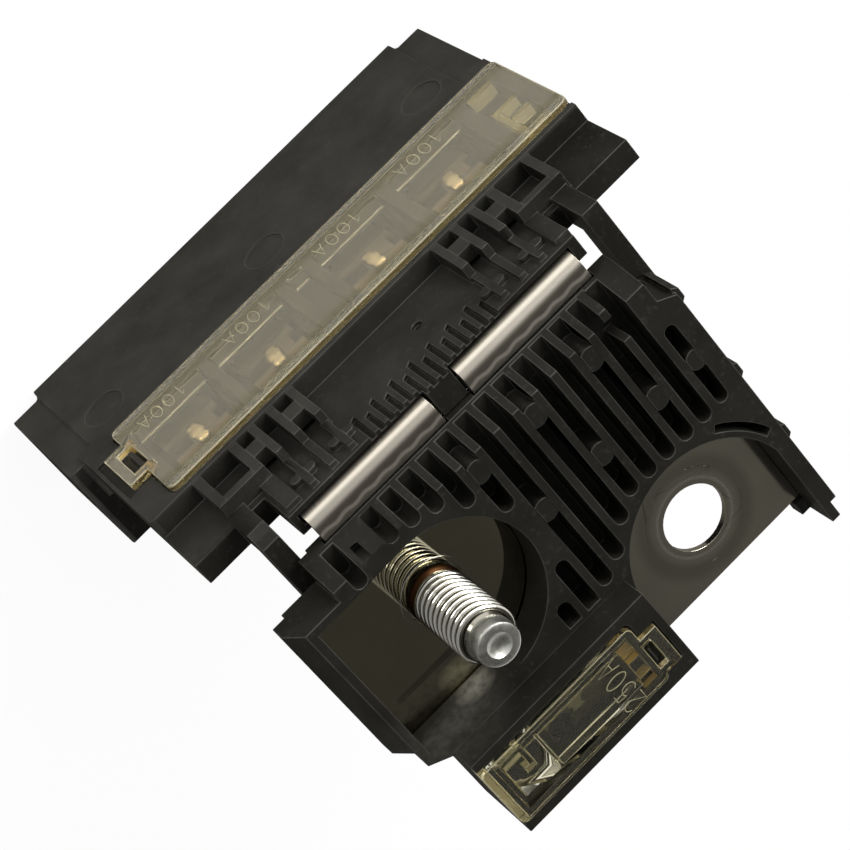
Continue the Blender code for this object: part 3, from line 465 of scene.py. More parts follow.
tin_sheet = plated("tin_sheet", (0.82, 0.77, 0.67), (0.6, 0.6, 0.56), 0.12, depth=0.0005,
                   zones=sheet_zones)
tin_floor = plated("polished_floor", (0.64, 0.61, 0.47), (0.5, 0.48, 0.37), 0.04, depth=0.0006)
tin_blade = plated("tin_blade", (0.3, 0.28, 0.24), (0.2, 0.19, 0.16), 0.35, lines=(2500.0, 2500.0, 25.0))
link_strip = plated("link_strip", (0.3, 0.235, 0.21), (0.2, 0.15, 0.13), 0.45,
                    lines=(2500.0, 2500.0, 60.0))
dull_strip = plated("dull_strip", (0.1, 0.093, 0.07), (0.06, 0.055, 0.042), 0.5,
                    lines=(60.0, 2500.0, 2500.0))
zinc = plated("zinc_thread", (0.93, 0.91, 0.83), (0.82, 0.78, 0.66), 0.16, lines=(900.0, 900.0, 2500.0),
              depth=0.0004, patch=3.0, zones=thread_zones)
tip_metal = plated("frosted_tip", (0.97, 0.97, 0.9), (0.75, 0.75, 0.68), 0.3,
                   lines=(1500.0, 1500.0, 1500.0), depth=0.004, patch=1.5)
rust = plated("brown_ring", (0.05, 0.021, 0.008), (0.03, 0.013, 0.005), 0.35, patch=1.0)
bead_tin = plated("bead_tin", (0.8, 0.69, 0.5), (0.42, 0.3, 0.19), 0.22, lines=(1400.0, 1400.0, 1400.0),
                  depth=0.25, patch=0.7)
dull_tin = plated("dull_tin", (0.14, 0.13, 0.1), (0.08, 0.07, 0.05), 0.4, lines=(700.0, 700.0, 700.0),
                  patch=1.2)
print("metals:", [m.name for m in (tin_sheet, tin_floor, tin_blade, link_strip, dull_strip, zinc,
                                   tip_metal, rust, bead_tin, dull_tin)])

# %% [markdown]
# ## Clear covers
# The covers are clear nylon with a straw tint. Light that runs inside the sheet leaves at the edges,
# which look amber. So the plates get a pale glass, and their rounded rims a deeper and milkier one. Snap
# legs are golden, the ribs at the end cream and the plates' sides amber. A pale matt line and a deeper
# band run beside the long plate's edges. The figures are strokes just under the skin, opaque and pale.


# %% Mix the clear plastic
LINE_INSET = 1.2                        # from the long plate's edge to the pale line
BAND_INSET = (1.3, 1.8, 2.8, 3.8)       # the deeper band: rise, full, fall, gone
PLATE_Z = (-41.6, -20.4)                # the long plate's two long edges


def near_long_edges(tree, z_low, z_high):
    """Two masks beside the plate's long edges: a thin pale line, and a deeper band inside it."""
    z = coordinates(tree)[2]
    inset = maths(tree, "MINIMUM", minus(tree, z, z_low), minus(tree, z_high, z))
    return line_at(tree, inset, LINE_INSET, 0.1, 0.3), between(tree, inset, *BAND_INSET)


def clear(name, colour, rough, depth, through=1.0, edges=None):
    """Glass for the covers; through is the share of light that goes through it."""
    mat, tree, shader = start(name, Transmission_Weight=through, IOR=1.48)
    haze = use(tree, speckle, Size_mm=5.0, Low=0.35, High=0.8, Detail=4.0, Shift=2.0).outputs[0]
    tone = blend(tree, times(tree, haze, 0.5), colour, tuple(c * 0.9 for c in colour))
    matt = span(tree, haze, 0.0, 1.0, rough, rough + 0.08)
    if edges:
        line, band = near_long_edges(tree, *edges)
        tone = blend(tree, times(tree, band, 0.9), tone, (0.68, 0.61, 0.41))
        tone = blend(tree, line, tone, (1.0, 0.97, 0.86))
        matt = plus(tree, matt, times(tree, line, 0.3))
    tree.links.new(tone, shader.inputs["Base Color"])
    tree.links.new(matt, shader.inputs["Roughness"])
    bump(tree, shader, use(tree, grain, Size_mm=1.6, Coarse=1.0).outputs[0], depth, 0.3)
    return mat


cover_clear = clear("cover_clear", (0.9, 0.84, 0.67), 0.06, 0.0006, 0.94, edges=PLATE_Z)
cover_dark = clear("cover_clear_small", (0.8, 0.77, 0.6), 0.05, 0.0006)
cover_rim = clear("cover_rim", (0.76, 0.7, 0.5), 0.1, 0.001, 0.75)
small_rim = clear("cover_rim_small", (0.62, 0.56, 0.34), 0.1, 0.001, 0.75)
cover_cream = clear("cover_cream", (0.86, 0.79, 0.54), 0.1, 0.001, 0.4)
cover_gold = clear("cover_gold", (0.72, 0.53, 0.2), 0.1, 0.001, 0.4)
cover_amber = clear("cover_amber", (0.25, 0.19, 0.075), 0.1, 0.001, 0.75)
cover_print = clear("cover_print", (0.5, 0.475, 0.37), 0.5, 0.01, 0.0)
print("clear:", [m.name for m in (cover_clear, cover_dark, cover_rim, small_rim, cover_cream, cover_gold,
                                  cover_amber, cover_print)])

# %% [markdown]
# ## Rounding the CAD edges
# A real moulding has no knife edges. Each catches a thin line of light, which does more for realism
# than any texture. The CAD node's mesh is loose triangles, so a copy is welded, its flat faces are
# made whole again, and a Bevel modifier rounds every edge over 35 degrees. Each edge has a weight: more
# at the block's outer corners, less or none where a pale line would cross a figure. The modifier also
# gives the rounded strips their own material slot, the edge finish; on the plastic it is paler, partly
# edge wear and partly a painted highlight.


# %% How much each edge is rounded
BLOCK_SIDES, BLOCK_TOP = (-19.0, 44.5), -15.0            # outer corners lie beyond these X, below this Z
PLATE_BACK, BARS_BACK, BARS_TOP = -44.85, -43.6, -36.0   # the long cover: two Y places and one Z


def outer_corner(edge, corner):
    """True for a long edge along Y at the sides of the block."""
    a, b = edge.verts[0].co, edge.verts[1].co
    at_side = a.x < BLOCK_SIDES[0] * MM or a.x > BLOCK_SIDES[1] * MM
    along_y = abs(a.x - b.x) + abs(a.z - b.z) < 1e-5
    return at_side and along_y and (a - b).length > 3 * corner * MM and a.z < BLOCK_TOP * MM


def bar_edges(place):
    """The share of the bevel that an edge of the long cover gets: none where the bars meet the plate
    behind the figures, so that no pale line crosses a figure, and less at the bars' far ends."""
    if place.z > BARS_TOP or place.y < PLATE_BACK:
        return 1.0
    return 0.7 if place.y > BARS_BACK else 0.0


print("block corners beyond x", BLOCK_SIDES, "- cover bars from y", PLATE_BACK, "to", BARS_BACK)

# %% Weld a copy of a node
WELD = 0.03                                  # points closer than this become one
SHARP, FLAT = math.radians(35), math.radians(0.5)
CORNER_ROOM, EDGE_ROOM = 2.2, 2.3            # bevel widths that an edge's shortest neighbour must have


def welded_copy(node, width, corner, flush, share):
    """One clean mesh from a node's loose triangles, with a bevel weight or a sharp flag on each edge."""
    mesh = nodes[node].data.copy()
    bm = bmesh.new()
    bm.from_mesh(mesh)
    for v in bm.verts:
        for axis, low, high, level in flush:
            if low < v.co[axis] / MM < high:
                v.co[axis] = level * MM
    bmesh.ops.remove_doubles(bm, verts=bm.verts, dist=WELD * MM)
    bmesh.ops.dissolve_limit(bm, angle_limit=FLAT, verts=bm.verts, edges=bm.edges)
    # an edge near a very short one stays sharp, so that no corner folds over itself
    weight = bm.edges.layers.float.new("bevel_weight_edge")
    count = {"round": 0, "sharp": 0, "corner": 0}
    for e in bm.edges:
        if len(e.link_faces) != 2 or e.calc_face_angle(0.0) < SHARP:
            continue
        near = min(x.calc_length() for v in e.verts for x in v.link_edges) / MM
        part = share((e.verts[0].co + e.verts[1].co) / 2 / MM) if share else 1.0
        if corner and near > CORNER_ROOM * corner and outer_corner(e, corner):
            e[weight] = 1.0
            count["corner"] += 1
        elif part and near > EDGE_ROOM * width * part:
            e[weight] = part * width / (corner or width)
            count["round"] += 1
        else:
            e.smooth = False
            count["sharp"] += 1
    print(node, count)
    bm.to_mesh(mesh)
    bm.free()
    mesh.materials.clear()
    return mesh


# %% Dress a node
def finish_mesh(ob):
    """Bakes an object's modifiers into its mesh."""
    deps = bpy.context.evaluated_depsgraph_get()
    baked = bpy.data.meshes.new_from_object(ob.evaluated_get(deps))
    ob.modifiers.clear()
    ob.data = baked


def smooth(mesh):
    for p in mesh.polygons:
        p.use_smooth = True


def dress(name, node, face, edge, width, body, corner=0.0, flush=(), more=(), pick=None,
          share=None):
    """A bevelled copy that stands for a CAD node; pick() gives some faces one of the other finishes."""
    ob = new_object(name, welded_copy(node, width, corner, flush, share))
    for finish in (face, edge, *more):
        ob.data.materials.append(finish)
    if pick:
        for p in ob.data.polygons:
            p.material_index = pick(p.center / MM, p.normal)
    mod = ob.modifiers.new("round", "BEVEL")
    mod.width = (corner or width) * MM
    mod.segments = 2
    mod.limit_method = "WEIGHT"
    mod.use_clamp_overlap = False
    mod.material = 1
    finish_mesh(ob)
    smooth(ob.data)
    even = ob.modifiers.new("even", "WEIGHTED_NORMAL")
    even.weight = 100
    even.keep_sharp = True
    finish_mesh(ob)
    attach(ob, body)
    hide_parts(node)
    print(name, len(ob.data.polygons), "faces")
    return ob


# %% Dress the mouldings and the sheets
# hair-fine steps (axis, from, to, level) are levelled, because a step that thin has no edge to round
FLUSH = [(1, -44.896, -44.85, -44.9), (1, -42.97, -42.93, -43.0)]
PAD = [(2, 0.05, 0.2, 0.03), (2, -1.2, -1.05, -1.03)]
rib_moulding = dress("rib_moulding", "plate_housing", plastic, plastic_edge, 0.12, "holder")
fuse_block = dress("fuse_block", "block_housing", block_plastic, plastic_edge, 0.12, "holder",
                   corner=0.7, flush=FLUSH)
bus_sheet = dress("bus_sheet", "bus_bar", tin_sheet, tin_sheet, 0.06, "holder", flush=PAD)
stud_floor = dress("stud_floor", "stud_plate", tin_floor, tin_sheet, 0.05, "holder")

# %% [markdown]
# ## The covers' finishes
# Each cover is one moulding, but its thick parts look deeper in colour than its thin plate. A face's
# place and direction tell which part it belongs to, so a small function picks its material slot. Slot 0
# is the clear plate and slot 1 the rounded rim.

# %% Dress the covers
FACE, CREAM, AMBER, GOLD = 0, 2, 3, 4
TINTS = (cover_cream, cover_amber, cover_gold)
LONG_RIBS_X, LONG_LEGS_X = -17.5, 43.2                       # ribs below the first, legs above the second
SMALL_LEGS_X, SMALL_RIBS_X, SMALL_WALL_X = 20.9, 37.0, 42.3
SMALL_BACK = 10.35                                           # Z of the back of the small plate
SIDEWAYS = 0.5                                               # a side wall's normal has less than this


def long_pick(place, normal):
    """Cream for the E-shaped ribs in the first cell, gold for the snap legs, amber for the sides."""
    if place.y > PLATE_BACK:
        return CREAM if place.x < LONG_RIBS_X else GOLD if place.x > LONG_LEGS_X else FACE
    return AMBER if abs(normal.y) < SIDEWAYS else FACE


def small_pick(place, normal):
    """Gold for the snap legs, cream for the ribs and the wall at the far end, amber for the sides."""
    behind, upright = place.z < SMALL_BACK, abs(normal.z) < SIDEWAYS
    if behind and place.x < SMALL_LEGS_X:
        return GOLD
    if place.x > SMALL_WALL_X or (behind and place.x > SMALL_RIBS_X and upright):
        return CREAM
    return AMBER if place.z > SMALL_BACK and upright else FACE


long_lid = dress("long_lid", "long_cover", cover_clear, cover_rim, 0.18, "long_cover_body",
                 more=TINTS, pick=long_pick, share=bar_edges)
small_lid = dress("small_lid", "small_cover", cover_dark, small_rim, 0.12, "small_cover_body",
                  more=TINTS, pick=small_pick)

# %% [markdown]
# ## Links and blades
# The strips and blades are flat stampings whose CAD shape is right already. They stay as they are and
# only get a better finish, by filling their own material slot.

# %% Finish the plain CAD nodes
PLAIN = {"main_link": dull_strip, "link_": link_strip, "outlet_": tin_blade}
for name, ob in nodes.items():
    for first_part, finish in PLAIN.items():
        if name.startswith(first_part):
            ob.data.materials.clear()
            ob.data.materials.append(finish)
            print(name, "is finished in", finish.name)

# %% [markdown]
# ## The stud
# The stud is an M8 thread with a 1.25 mm pitch and a plain dog point with a dished end. Its core is
# turned: one profile, spun round the axis. The thread is a helix, which follows a rule exactly, so
# Geometry Nodes sweep a trapezoid along a spiral and then limit each point's radius, so that the first
# turn rises out of the foot and the last one fades at the chamfer.

# %% Sizes of the stud
STUD = Vector((STUD_X, STUD_Y, 0.0))
STUD_H, TIP_R, TIP_H = 17.0, 3.05, 2.6
TIP_Z = STUD_H - TIP_H
THREAD_R, CORE_R, PITCH = 4.0, 3.3, 1.25
THREAD_Z0, THREAD_Z1 = 0.6, TIP_Z + 0.1
ZINC, BROWN, FROSTED = 0, 1, 2
STUD_PROFILE = [                                                                # radius, height, finish
    (0, -3.7, ZINC), (6.4, -3.7, ZINC), (6.8, -3.3, ZINC), (6.8, -1.3, ZINC),   # head below the sheet
    (4.0, -1.3, ZINC), (4.0, 0.15, BROWN), (3.8, 0.45, BROWN),                  # neck and its brown ring
    (CORE_R, 0.75, ZINC), (CORE_R, TIP_Z - 0.3, ZINC),                          # core of the thread
    (TIP_R, TIP_Z + 0.1, FROSTED), (TIP_R, STUD_H - 0.45, FROSTED),             # dog point
    (TIP_R - 0.12, STUD_H - 0.15, FROSTED), (TIP_R - 0.4, STUD_H, FROSTED),     # its rounded rim
    (1.75, STUD_H, FROSTED), (1.55, STUD_H - 0.12, FROSTED),                    # dished end
    (0.9, STUD_H - 0.5, FROSTED), (0, STUD_H - 0.6, FROSTED)]
print("stud", STUD_H, "high, thread from", THREAD_Z0, "to", THREAD_Z1)


# %% Turn the core
SLACK = 0.02               # a face's middle may lie this far outside its piece of the profile
CHORD = 0.97               # and it is nearer to the axis than the profile, by less than this share


def by_vertices(face):
    """A number to sort faces by, because merging leaves them in another order on each run."""
    a, b, c = sorted(v.index for v in face.verts)[:3]
    return (a * 4096 + b) * 4096 + c


def lathe(name, profile, steps, finishes):
    """Spins a profile of (radius, height, finish number) round the stud's axis."""
    bm = bmesh.new()
    ring = [bm.verts.new((r * MM, 0, z * MM)) for r, z, _ in profile]
    for a, b in zip(ring, ring[1:]):
        bm.edges.new((a, b))
    bmesh.ops.spin(bm, geom=bm.verts[:] + bm.edges[:], cent=(0, 0, 0), axis=(0, 0, 1), angle=2 * math.pi,
                   steps=steps, use_merge=True)
    bmesh.ops.remove_doubles(bm, verts=bm.verts, dist=1e-6)
    bmesh.ops.recalc_face_normals(bm, faces=bm.faces)
    bm.verts.index_update()
    bm.faces.sort(key=by_vertices)
    for f in bm.faces:
        z = f.calc_center_median().z / MM
        r = f.calc_center_median().xy.length / MM
        for (r0, z0, finish), (r1, z1, _) in zip(profile, profile[1:]):
            level = min(z0, z1) - SLACK <= z <= max(z0, z1) + SLACK
            if level and min(r0, r1) * CHORD - SLACK <= r <= max(r0, r1) + SLACK:
                f.material_index = finish
        f.smooth = True
    bmesh.ops.translate(bm, vec=STUD * MM, verts=bm.verts)
    mesh = bpy.data.meshes.new(name)
    bm.to_mesh(mesh)
    bm.free()
    for finish in finishes:
        mesh.materials.append(finish)
    mesh.set_sharp_from_angle(angle=math.radians(30))
    return new_object(name, mesh)


shank = lathe("stud_shank", STUD_PROFILE, 72, (zinc, rust, tip_metal))
print("shank", len(shank.data.polygons), "faces")


# %% Sweep the thread with Geometry Nodes
def end_tree(tree, geometry, finish, out):
    """Realize Instances and Set Material end every tree, because the export drops instances."""
    real = add(tree, "GeometryNodeRealizeInstances", None, Geometry=geometry)
    done = add(tree, "GeometryNodeSetMaterial", None, Geometry=real.outputs[0], Material=finish)
    tree.links.new(done.outputs[0], out)


def thread_tree():
    tree, i, o = new_group("thread", "GeometryNodeTree",
                           [("Geometry", "Geometry"), ("Crest radius", "Float", 4.0 * MM),
                            ("Core radius", "Float", 3.4 * MM), ("Pitch", "Float", 1.25 * MM),
                            ("Start", "Float", 0.0), ("End", "Float", 0.01), ("Finish", "Material")],
                           [("Geometry", "Geometry")])
    crest, core, pitch = i["Crest radius"], i["Core radius"], i["Pitch"]
    length = minus(tree, i["End"], i["Start"])
    middle = times(tree, plus(tree, crest, core), 0.5)
    line = add(tree, "GeometryNodeCurveSpiral", None, Resolution=48, Reverse=False, Height=length,
               Rotations=maths(tree, "DIVIDE", length, pitch), Start_Radius=middle, End_Radius=middle)
    # the trapezoid is a little deeper than the thread and nearly as wide as the pitch at its foot
    shape = add(tree, "GeometryNodeCurvePrimitiveQuadrilateral", {"mode": "TRAPEZOID"},
                Height=times(tree, minus(tree, crest, core), 1.15), Bottom_Width=times(tree, pitch, 0.92),
                Top_Width=times(tree, pitch, 0.2), Offset=0.0)
    aimed = add(tree, "GeometryNodeTransform", None, Geometry=shape.outputs[0],
                Rotation=(0.0, 0.0, math.radians(90)))
    upright = add(tree, "GeometryNodeSetCurveNormal", {"mode": "Z_UP"}, Curve=line.outputs[0])
    sweep = add(tree, "GeometryNodeCurveToMesh", None, Curve=upright.outputs[0],
                Profile_Curve=aimed.outputs[0], Fill_Caps=True)
    place = add(tree, "GeometryNodeInputPosition").outputs[0]
    x, y, z = add(tree, "ShaderNodeSeparateXYZ", None, Vector=place).outputs
    flat = add(tree, "ShaderNodeCombineXYZ", None, X=x, Y=y).outputs[0]
    radius = vector(tree, "LENGTH", flat).outputs["Value"]
    # the room below the chamfer shrinks with the height, and at the foot the thread fades in
    room = plus(tree, times(tree, minus(tree, length, z), 1.2), minus(tree, core, 0.2 * MM))
    foot = plus(tree, times(tree, z, 0.9), minus(tree, core, 0.1 * MM))
    kept = maths(tree, "MINIMUM", maths(tree, "MINIMUM", room, foot), radius)
    ratio = maths(tree, "DIVIDE", kept, radius)
    moved = add(tree, "ShaderNodeCombineXYZ", None, X=times(tree, x, ratio), Y=times(tree, y, ratio),
                Z=plus(tree, z, i["Start"])).outputs[0]
    placed = add(tree, "GeometryNodeSetPosition", None, Geometry=sweep.outputs[0], Position=moved)
    end_tree(tree, placed.outputs[0], i["Finish"], o["Geometry"])
    return tree


def grow(name, tree, points=(), **values):
    """Runs a Geometry Nodes tree on an object and bakes the result to a plain mesh."""
    mesh = bpy.data.meshes.new(name)
    mesh.from_pydata([tuple(Vector(p) * MM) for p in points] or [(0, 0, 0)], [], [])
    ob = new_object(name, mesh)
    mod = ob.modifiers.new(name, "NODES")
    mod.node_group = tree
    ids = {s.name: s.identifier for s in tree.interface.items_tree if s.in_out == "INPUT"}
    for key, value in values.items():
        mod[ids[key.replace("_", " ")]] = value
    finish_mesh(ob)
    return ob


thread = grow("stud_thread", thread_tree(), Crest_radius=THREAD_R * MM, Core_radius=CORE_R * MM,
              Pitch=PITCH * MM, Start=THREAD_Z0 * MM, End=THREAD_Z1 * MM, Finish=zinc)
radii = [v.co.xy.length / MM for v in thread.data.vertices]
print("thread", len(thread.data.polygons), "faces, radii %.2f to %.2f" % (min(radii), max(radii)))

# %% Join shank and thread into one stud
for v in thread.data.vertices:
    v.co += STUD * MM
smooth(thread.data)


def join_into(target, *others):
    """Joins other meshes into the target, keeping their materials."""
    bpy.ops.object.select_all(action="DESELECT")
    for o in (target, *others):
        o.select_set(True)
    bpy.context.view_layer.objects.active = target
    bpy.ops.object.join()
    return target


stud = join_into(shank, thread)
stud.name = "threaded_stud"
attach(stud, "holder")
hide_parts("stud")
print("stud", len(stud.data.polygons), "faces")

# %% [markdown]
# ## Tin beads
# On each strip sits a drop of tin, which sets when the strip gets hot. It was pinched on, so it is a
# rounded bar with two waists. One bead is modelled, and Geometry Nodes put it on all four strips, each
# a little different, with a fixed seed.

# %% Model one bead
LINK_X = (-9.2, 5.3, 23.3, 37.3)
LINK_TOP = -30.4
BEAD_Y, BEAD_Z = -41.95, LINK_TOP - 1.0
BEAD_ROWS, BEAD_COLS = 17, 20
WAIST_AT, WAIST_LONG, WAIST_DEEP = 0.42, 0.13, 0.3       # shares of the bead's half length and width
SQUARE = 0.75                                            # below 1 the section is squarer than an ellipse


def bead_mesh(name, w, d, h):
    """A pinched, rounded bar with width w, depth d and height h, centred on the origin."""
    bm = bmesh.new()
    rings = []
    for k in range(BEAD_ROWS):
        t = k / (BEAD_ROWS - 1) * 2 - 1
        end = max(1 - abs(t) ** 4, 0.0) ** 0.5
        waist = 1 - WAIST_DEEP * math.exp(-((abs(t) - WAIST_AT) / WAIST_LONG) ** 2)
        ring = []
        for j in range(BEAD_COLS):
            a = 2 * math.pi * j / BEAD_COLS
            c, s = math.cos(a), math.sin(a)
            x = math.copysign(abs(c) ** SQUARE, c) * w / 2 * end * waist
            y = math.copysign(abs(s) ** SQUARE, s) * d / 2 * end * (0.8 + 0.2 * waist)
            ring.append(bm.verts.new((x * MM, y * MM, t * h / 2 * MM)))
        rings.append(ring)
    for a, b in zip(rings, rings[1:]):
        for j in range(BEAD_COLS):
            k = (j + 1) % BEAD_COLS
            bm.faces.new((a[j], a[k], b[k], b[j]))
    bm.faces.new(rings[0][::-1])
    bm.faces.new(rings[-1])
    bmesh.ops.remove_doubles(bm, verts=bm.verts, dist=1e-7)
    bmesh.ops.recalc_face_normals(bm, faces=bm.faces)
    mesh = bpy.data.meshes.new(name)
    bm.to_mesh(mesh)
    bm.free()
    smooth(mesh)
    return new_object(name, mesh)


one_bead = bead_mesh("one_bead", 2.4, 1.1, 5.2)
print("one bead", len(one_bead.data.polygons), "faces")


# %% Put a bead on every strip
def on_points(tree, points, piece, **turned_and_sized):
    """The piece on every point of a mesh."""
    at = add(tree, "GeometryNodeMeshToPoints", None, Mesh=points)
    return add(tree, "GeometryNodeInstanceOnPoints", None, Points=at.outputs[0], Instance=piece,
               **turned_and_sized).outputs[0]


def scatter_tree():
    """Places one piece on every point, turned and sized a little differently."""
    tree, i, o = new_group("one_on_each_point", "GeometryNodeTree",
                           [("Geometry", "Geometry"), ("Piece", "Object"), ("Turn", "Float", 0.1),
                            ("Uneven", "Float", 0.05), ("Seed", "Int", 1), ("Finish", "Material")],
                           [("Geometry", "Geometry")])
    piece = add(tree, "GeometryNodeObjectInfo", None, Object=i["Piece"]).outputs["Geometry"]
    # a float's lower and upper limit are inputs 2 and 3 of the Random Value node
    spin = add(tree, "FunctionNodeRandomValue", {"data_type": "FLOAT"}, Seed=i["Seed"],
               i2=times(tree, i["Turn"], -1.0), i3=i["Turn"]).outputs[1]
    size = add(tree, "FunctionNodeRandomValue", {"data_type": "FLOAT"}, Seed=plus(tree, i["Seed"], 7.0),
               i2=minus(tree, 1.0, i["Uneven"]), i3=1.0).outputs[1]
    turn = add(tree, "ShaderNodeCombineXYZ", None, Y=spin).outputs[0]
    copies = on_points(tree, i["Geometry"], piece, Rotation=turn, Scale=size)
    end_tree(tree, copies, i["Finish"], o["Geometry"])
    return tree


beads = grow("tin_beads", scatter_tree(), [(x, BEAD_Y, BEAD_Z) for x in LINK_X], Piece=one_bead,
             Turn=0.12, Uneven=0.06, Seed=4, Finish=bead_tin)
bpy.data.objects.remove(one_bead)
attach(beads, "holder")
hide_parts("pellet_1", "pellet_2", "pellet_3", "pellet_4")
print("beads", len(beads.data.polygons), "faces")

# %% [markdown]
# ## The bead of the main link
# The main link lies flat under the small cover, and so does its bead. It is the same bar, made to the
# size of its solid and turned on its side, in a duller tin.

# %% Make the bead of the main link
low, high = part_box("main_pellet")
middle = (low + high) / 2
size = (high - low) / MM
main_bead = bead_mesh("main_bead", size.x, size.z, size.y)
main_bead.data.transform(Matrix.Translation(middle) @ Matrix.Rotation(math.radians(90), 4, "X"))
main_bead.data.materials.append(dull_tin)
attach(main_bead, "holder")
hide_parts("main_pellet")
print("main bead at", [round(x / MM, 1) for x in middle])

# %% [markdown]
# ## Ratings on the covers
# Each cell's rating lies in the face of the clear cover in thin single strokes, which is how such
# numbers are engraved in a mould. The strokes are drawn once as lines on a small grid. Geometry Nodes
# sweep a thin round rod along them and repeat the word over the four cells.


# %% Draw the figures as strokes
def arc(cx, cy, rx, ry, a0, a1, n):
    turns = [math.radians(a0 + (a1 - a0) * k / n) for k in range(n + 1)]
    return [(cx + rx * math.cos(t), cy + ry * math.sin(t)) for t in turns]


STROKES = {
    "0": [arc(0.3, 0.5, 0.3, 0.5, 0, 360, 20)],
    "1": [[(0.2, 0.8), (0.4, 1), (0.4, 0)]],
    "2": [arc(0.3, 0.72, 0.28, 0.28, 165, -30, 10) + [(0, 0), (0.6, 0)]],
    "5": [[(0.55, 1), (0.1, 1), (0.05, 0.57)] + arc(0.27, 0.33, 0.32, 0.33, 125, -140, 12)],
    "A": [[(0, 0), (0.3, 1), (0.6, 0)], [(0.1, 0.33), (0.5, 0.33)]],
}
ADVANCE = 0.68                       # from one figure to the next, in heights
GRID_W, NARROW = 0.6, 0.75           # a figure's width on the grid, and how much narrower it is drawn


def word_lines(name, word, height, right, up):
    """Edges of a word's strokes, laid out along the right and up vectors round the origin."""
    verts, edges = [], []
    width = (len(word) - 1) * ADVANCE + GRID_W * NARROW
    for n, letter in enumerate(word):
        for stroke in STROKES[letter]:
            first = len(verts)
            for u, v in stroke:
                across = Vector(right) * (n * ADVANCE + u * NARROW - width / 2) * height
                verts.append((across + Vector(up) * (v - 0.5) * height) * MM)
            edges += [(first + k, first + k + 1) for k in range(len(stroke) - 1)]
    mesh = bpy.data.meshes.new(name)
    mesh.from_pydata(verts, edges, [])
    return new_object(name, mesh)


print("figures drawn:", " ".join(STROKES))


# %% Sweep the strokes and set the ratings
def stroke_tree():
    """Sweeps a thin round rod along lines and repeats it on every point of the modified mesh."""
    tree, i, o = new_group("raised_strokes", "GeometryNodeTree",
                           [("Geometry", "Geometry"), ("Lines", "Object"), ("Width", "Float", 0.3 * MM),
                            ("Finish", "Material")], [("Geometry", "Geometry")])
    lines = add(tree, "GeometryNodeObjectInfo", None, Object=i["Lines"]).outputs["Geometry"]
    curves = add(tree, "GeometryNodeMeshToCurve", None, Mesh=lines).outputs[0]
    circle = add(tree, "GeometryNodeCurvePrimitiveCircle", None, Resolution=8,
                 Radius=times(tree, i["Width"], 0.5)).outputs[0]
    rod = add(tree, "GeometryNodeCurveToMesh", None, Curve=curves, Profile_Curve=circle, Fill_Caps=True)
    end_tree(tree, on_points(tree, i["Geometry"], rod.outputs[0]), i["Finish"], o["Geometry"])
    return tree


strokes = stroke_tree()
STROKE_W, UNDER_SKIN = 0.16, 0.1
LONG_FACE, SMALL_FACE = -45.9, 11.4            # the outer faces: Y of the long cover, Z of the small one
RATING_X, RATING_Z = (-9.0, 6.0, 22.5, 38.0), -37.1


def rating(name, word, height, right, up, places):
    """A rating in the face of a cover, once at each place."""
    lines = word_lines("word", word, height, right, up)
    ob = grow(name, strokes, places, Lines=lines, Width=STROKE_W * MM, Finish=cover_print)
    bpy.data.objects.remove(lines)
    return ob


ratings = rating("link_ratings", "100A", 3.1, (1, 0, 0), (0, 0, 1),
                 [(x, LONG_FACE + UNDER_SKIN, RATING_Z) for x in RATING_X])
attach(ratings, "long_cover_body")
main_rating = rating("main_rating", "250A", 3.2, (0, -1, 0), (1, 0, 0),
                     [(22.9, 1.8, SMALL_FACE - UNDER_SKIN)])
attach(main_rating, "small_cover_body")
print("ratings", len(ratings.data.polygons), len(main_rating.data.polygons), "faces")

# %% [markdown]
# ## Studio
# A white floor and a white surround make a product photograph. Their brightness comes from their own
# colour for camera rays, never from more light on the part. Polished metal shows what stands opposite
# it, so for mirror rays the surround is bright at one side and dimmer at the other.

# %% World
AMBIENT, WHITE = 0.75, 1.0
MIRROR_FROM, MIRROR_TO = (-0.8, 0.8), (0.7, 0.25)        # direction along X, and the level seen there
world = bpy.data.worlds.new("studio")
bpy.context.scene.world = world
world.use_nodes = True
sky = world.node_tree
sky.nodes.clear()
rays = add(sky, "ShaderNodeLightPath").outputs
direct = maths(sky, "MAXIMUM", rays["Is Camera Ray"], rays["Is Transmission Ray"])
mirror = times(sky, rays["Is Glossy Ray"], minus(sky, 1.0, direct))
towards = add(sky, "ShaderNodeTexCoord").outputs["Generated"]
along_x = add(sky, "ShaderNodeSeparateXYZ", None, Vector=towards).outputs[0]
seen = span(sky, along_x, MIRROR_FROM[0], MIRROR_TO[0], MIRROR_FROM[1], MIRROR_TO[1])
plain = span(sky, direct, 0.0, 1.0, AMBIENT, WHITE)
level = plus(sky, times(sky, plain, minus(sky, 1.0, mirror)), times(sky, seen, mirror))
glow = add(sky, "ShaderNodeBackground", None, Color=(1.0, 1.0, 1.0, 1.0), Strength=level)
sky.links.new(glow.outputs[0], add(sky, "ShaderNodeOutputWorld").inputs["Surface"])
print("world:", world.name, "ambient", AMBIENT)

# %% [markdown]
# ## Floor
# The floor is a large pale plane at the lowest point of the part. A share of its own glow, for camera
# rays alone, makes it white, and the rest keeps the part's shadow. In a mirror it is dark, as a floor
# seen far below would be, so that the bare sheet doesn't wash out.

# %% Make the floor
FLOOR_Z, FLOOR_SIZE = -66.5, 6000
FLOOR_GREY, FLOOR_IN_MIRROR = (0.86, 0.86, 0.86), (0.12, 0.115, 0.1)
FLOOR_GLOW = 0.92


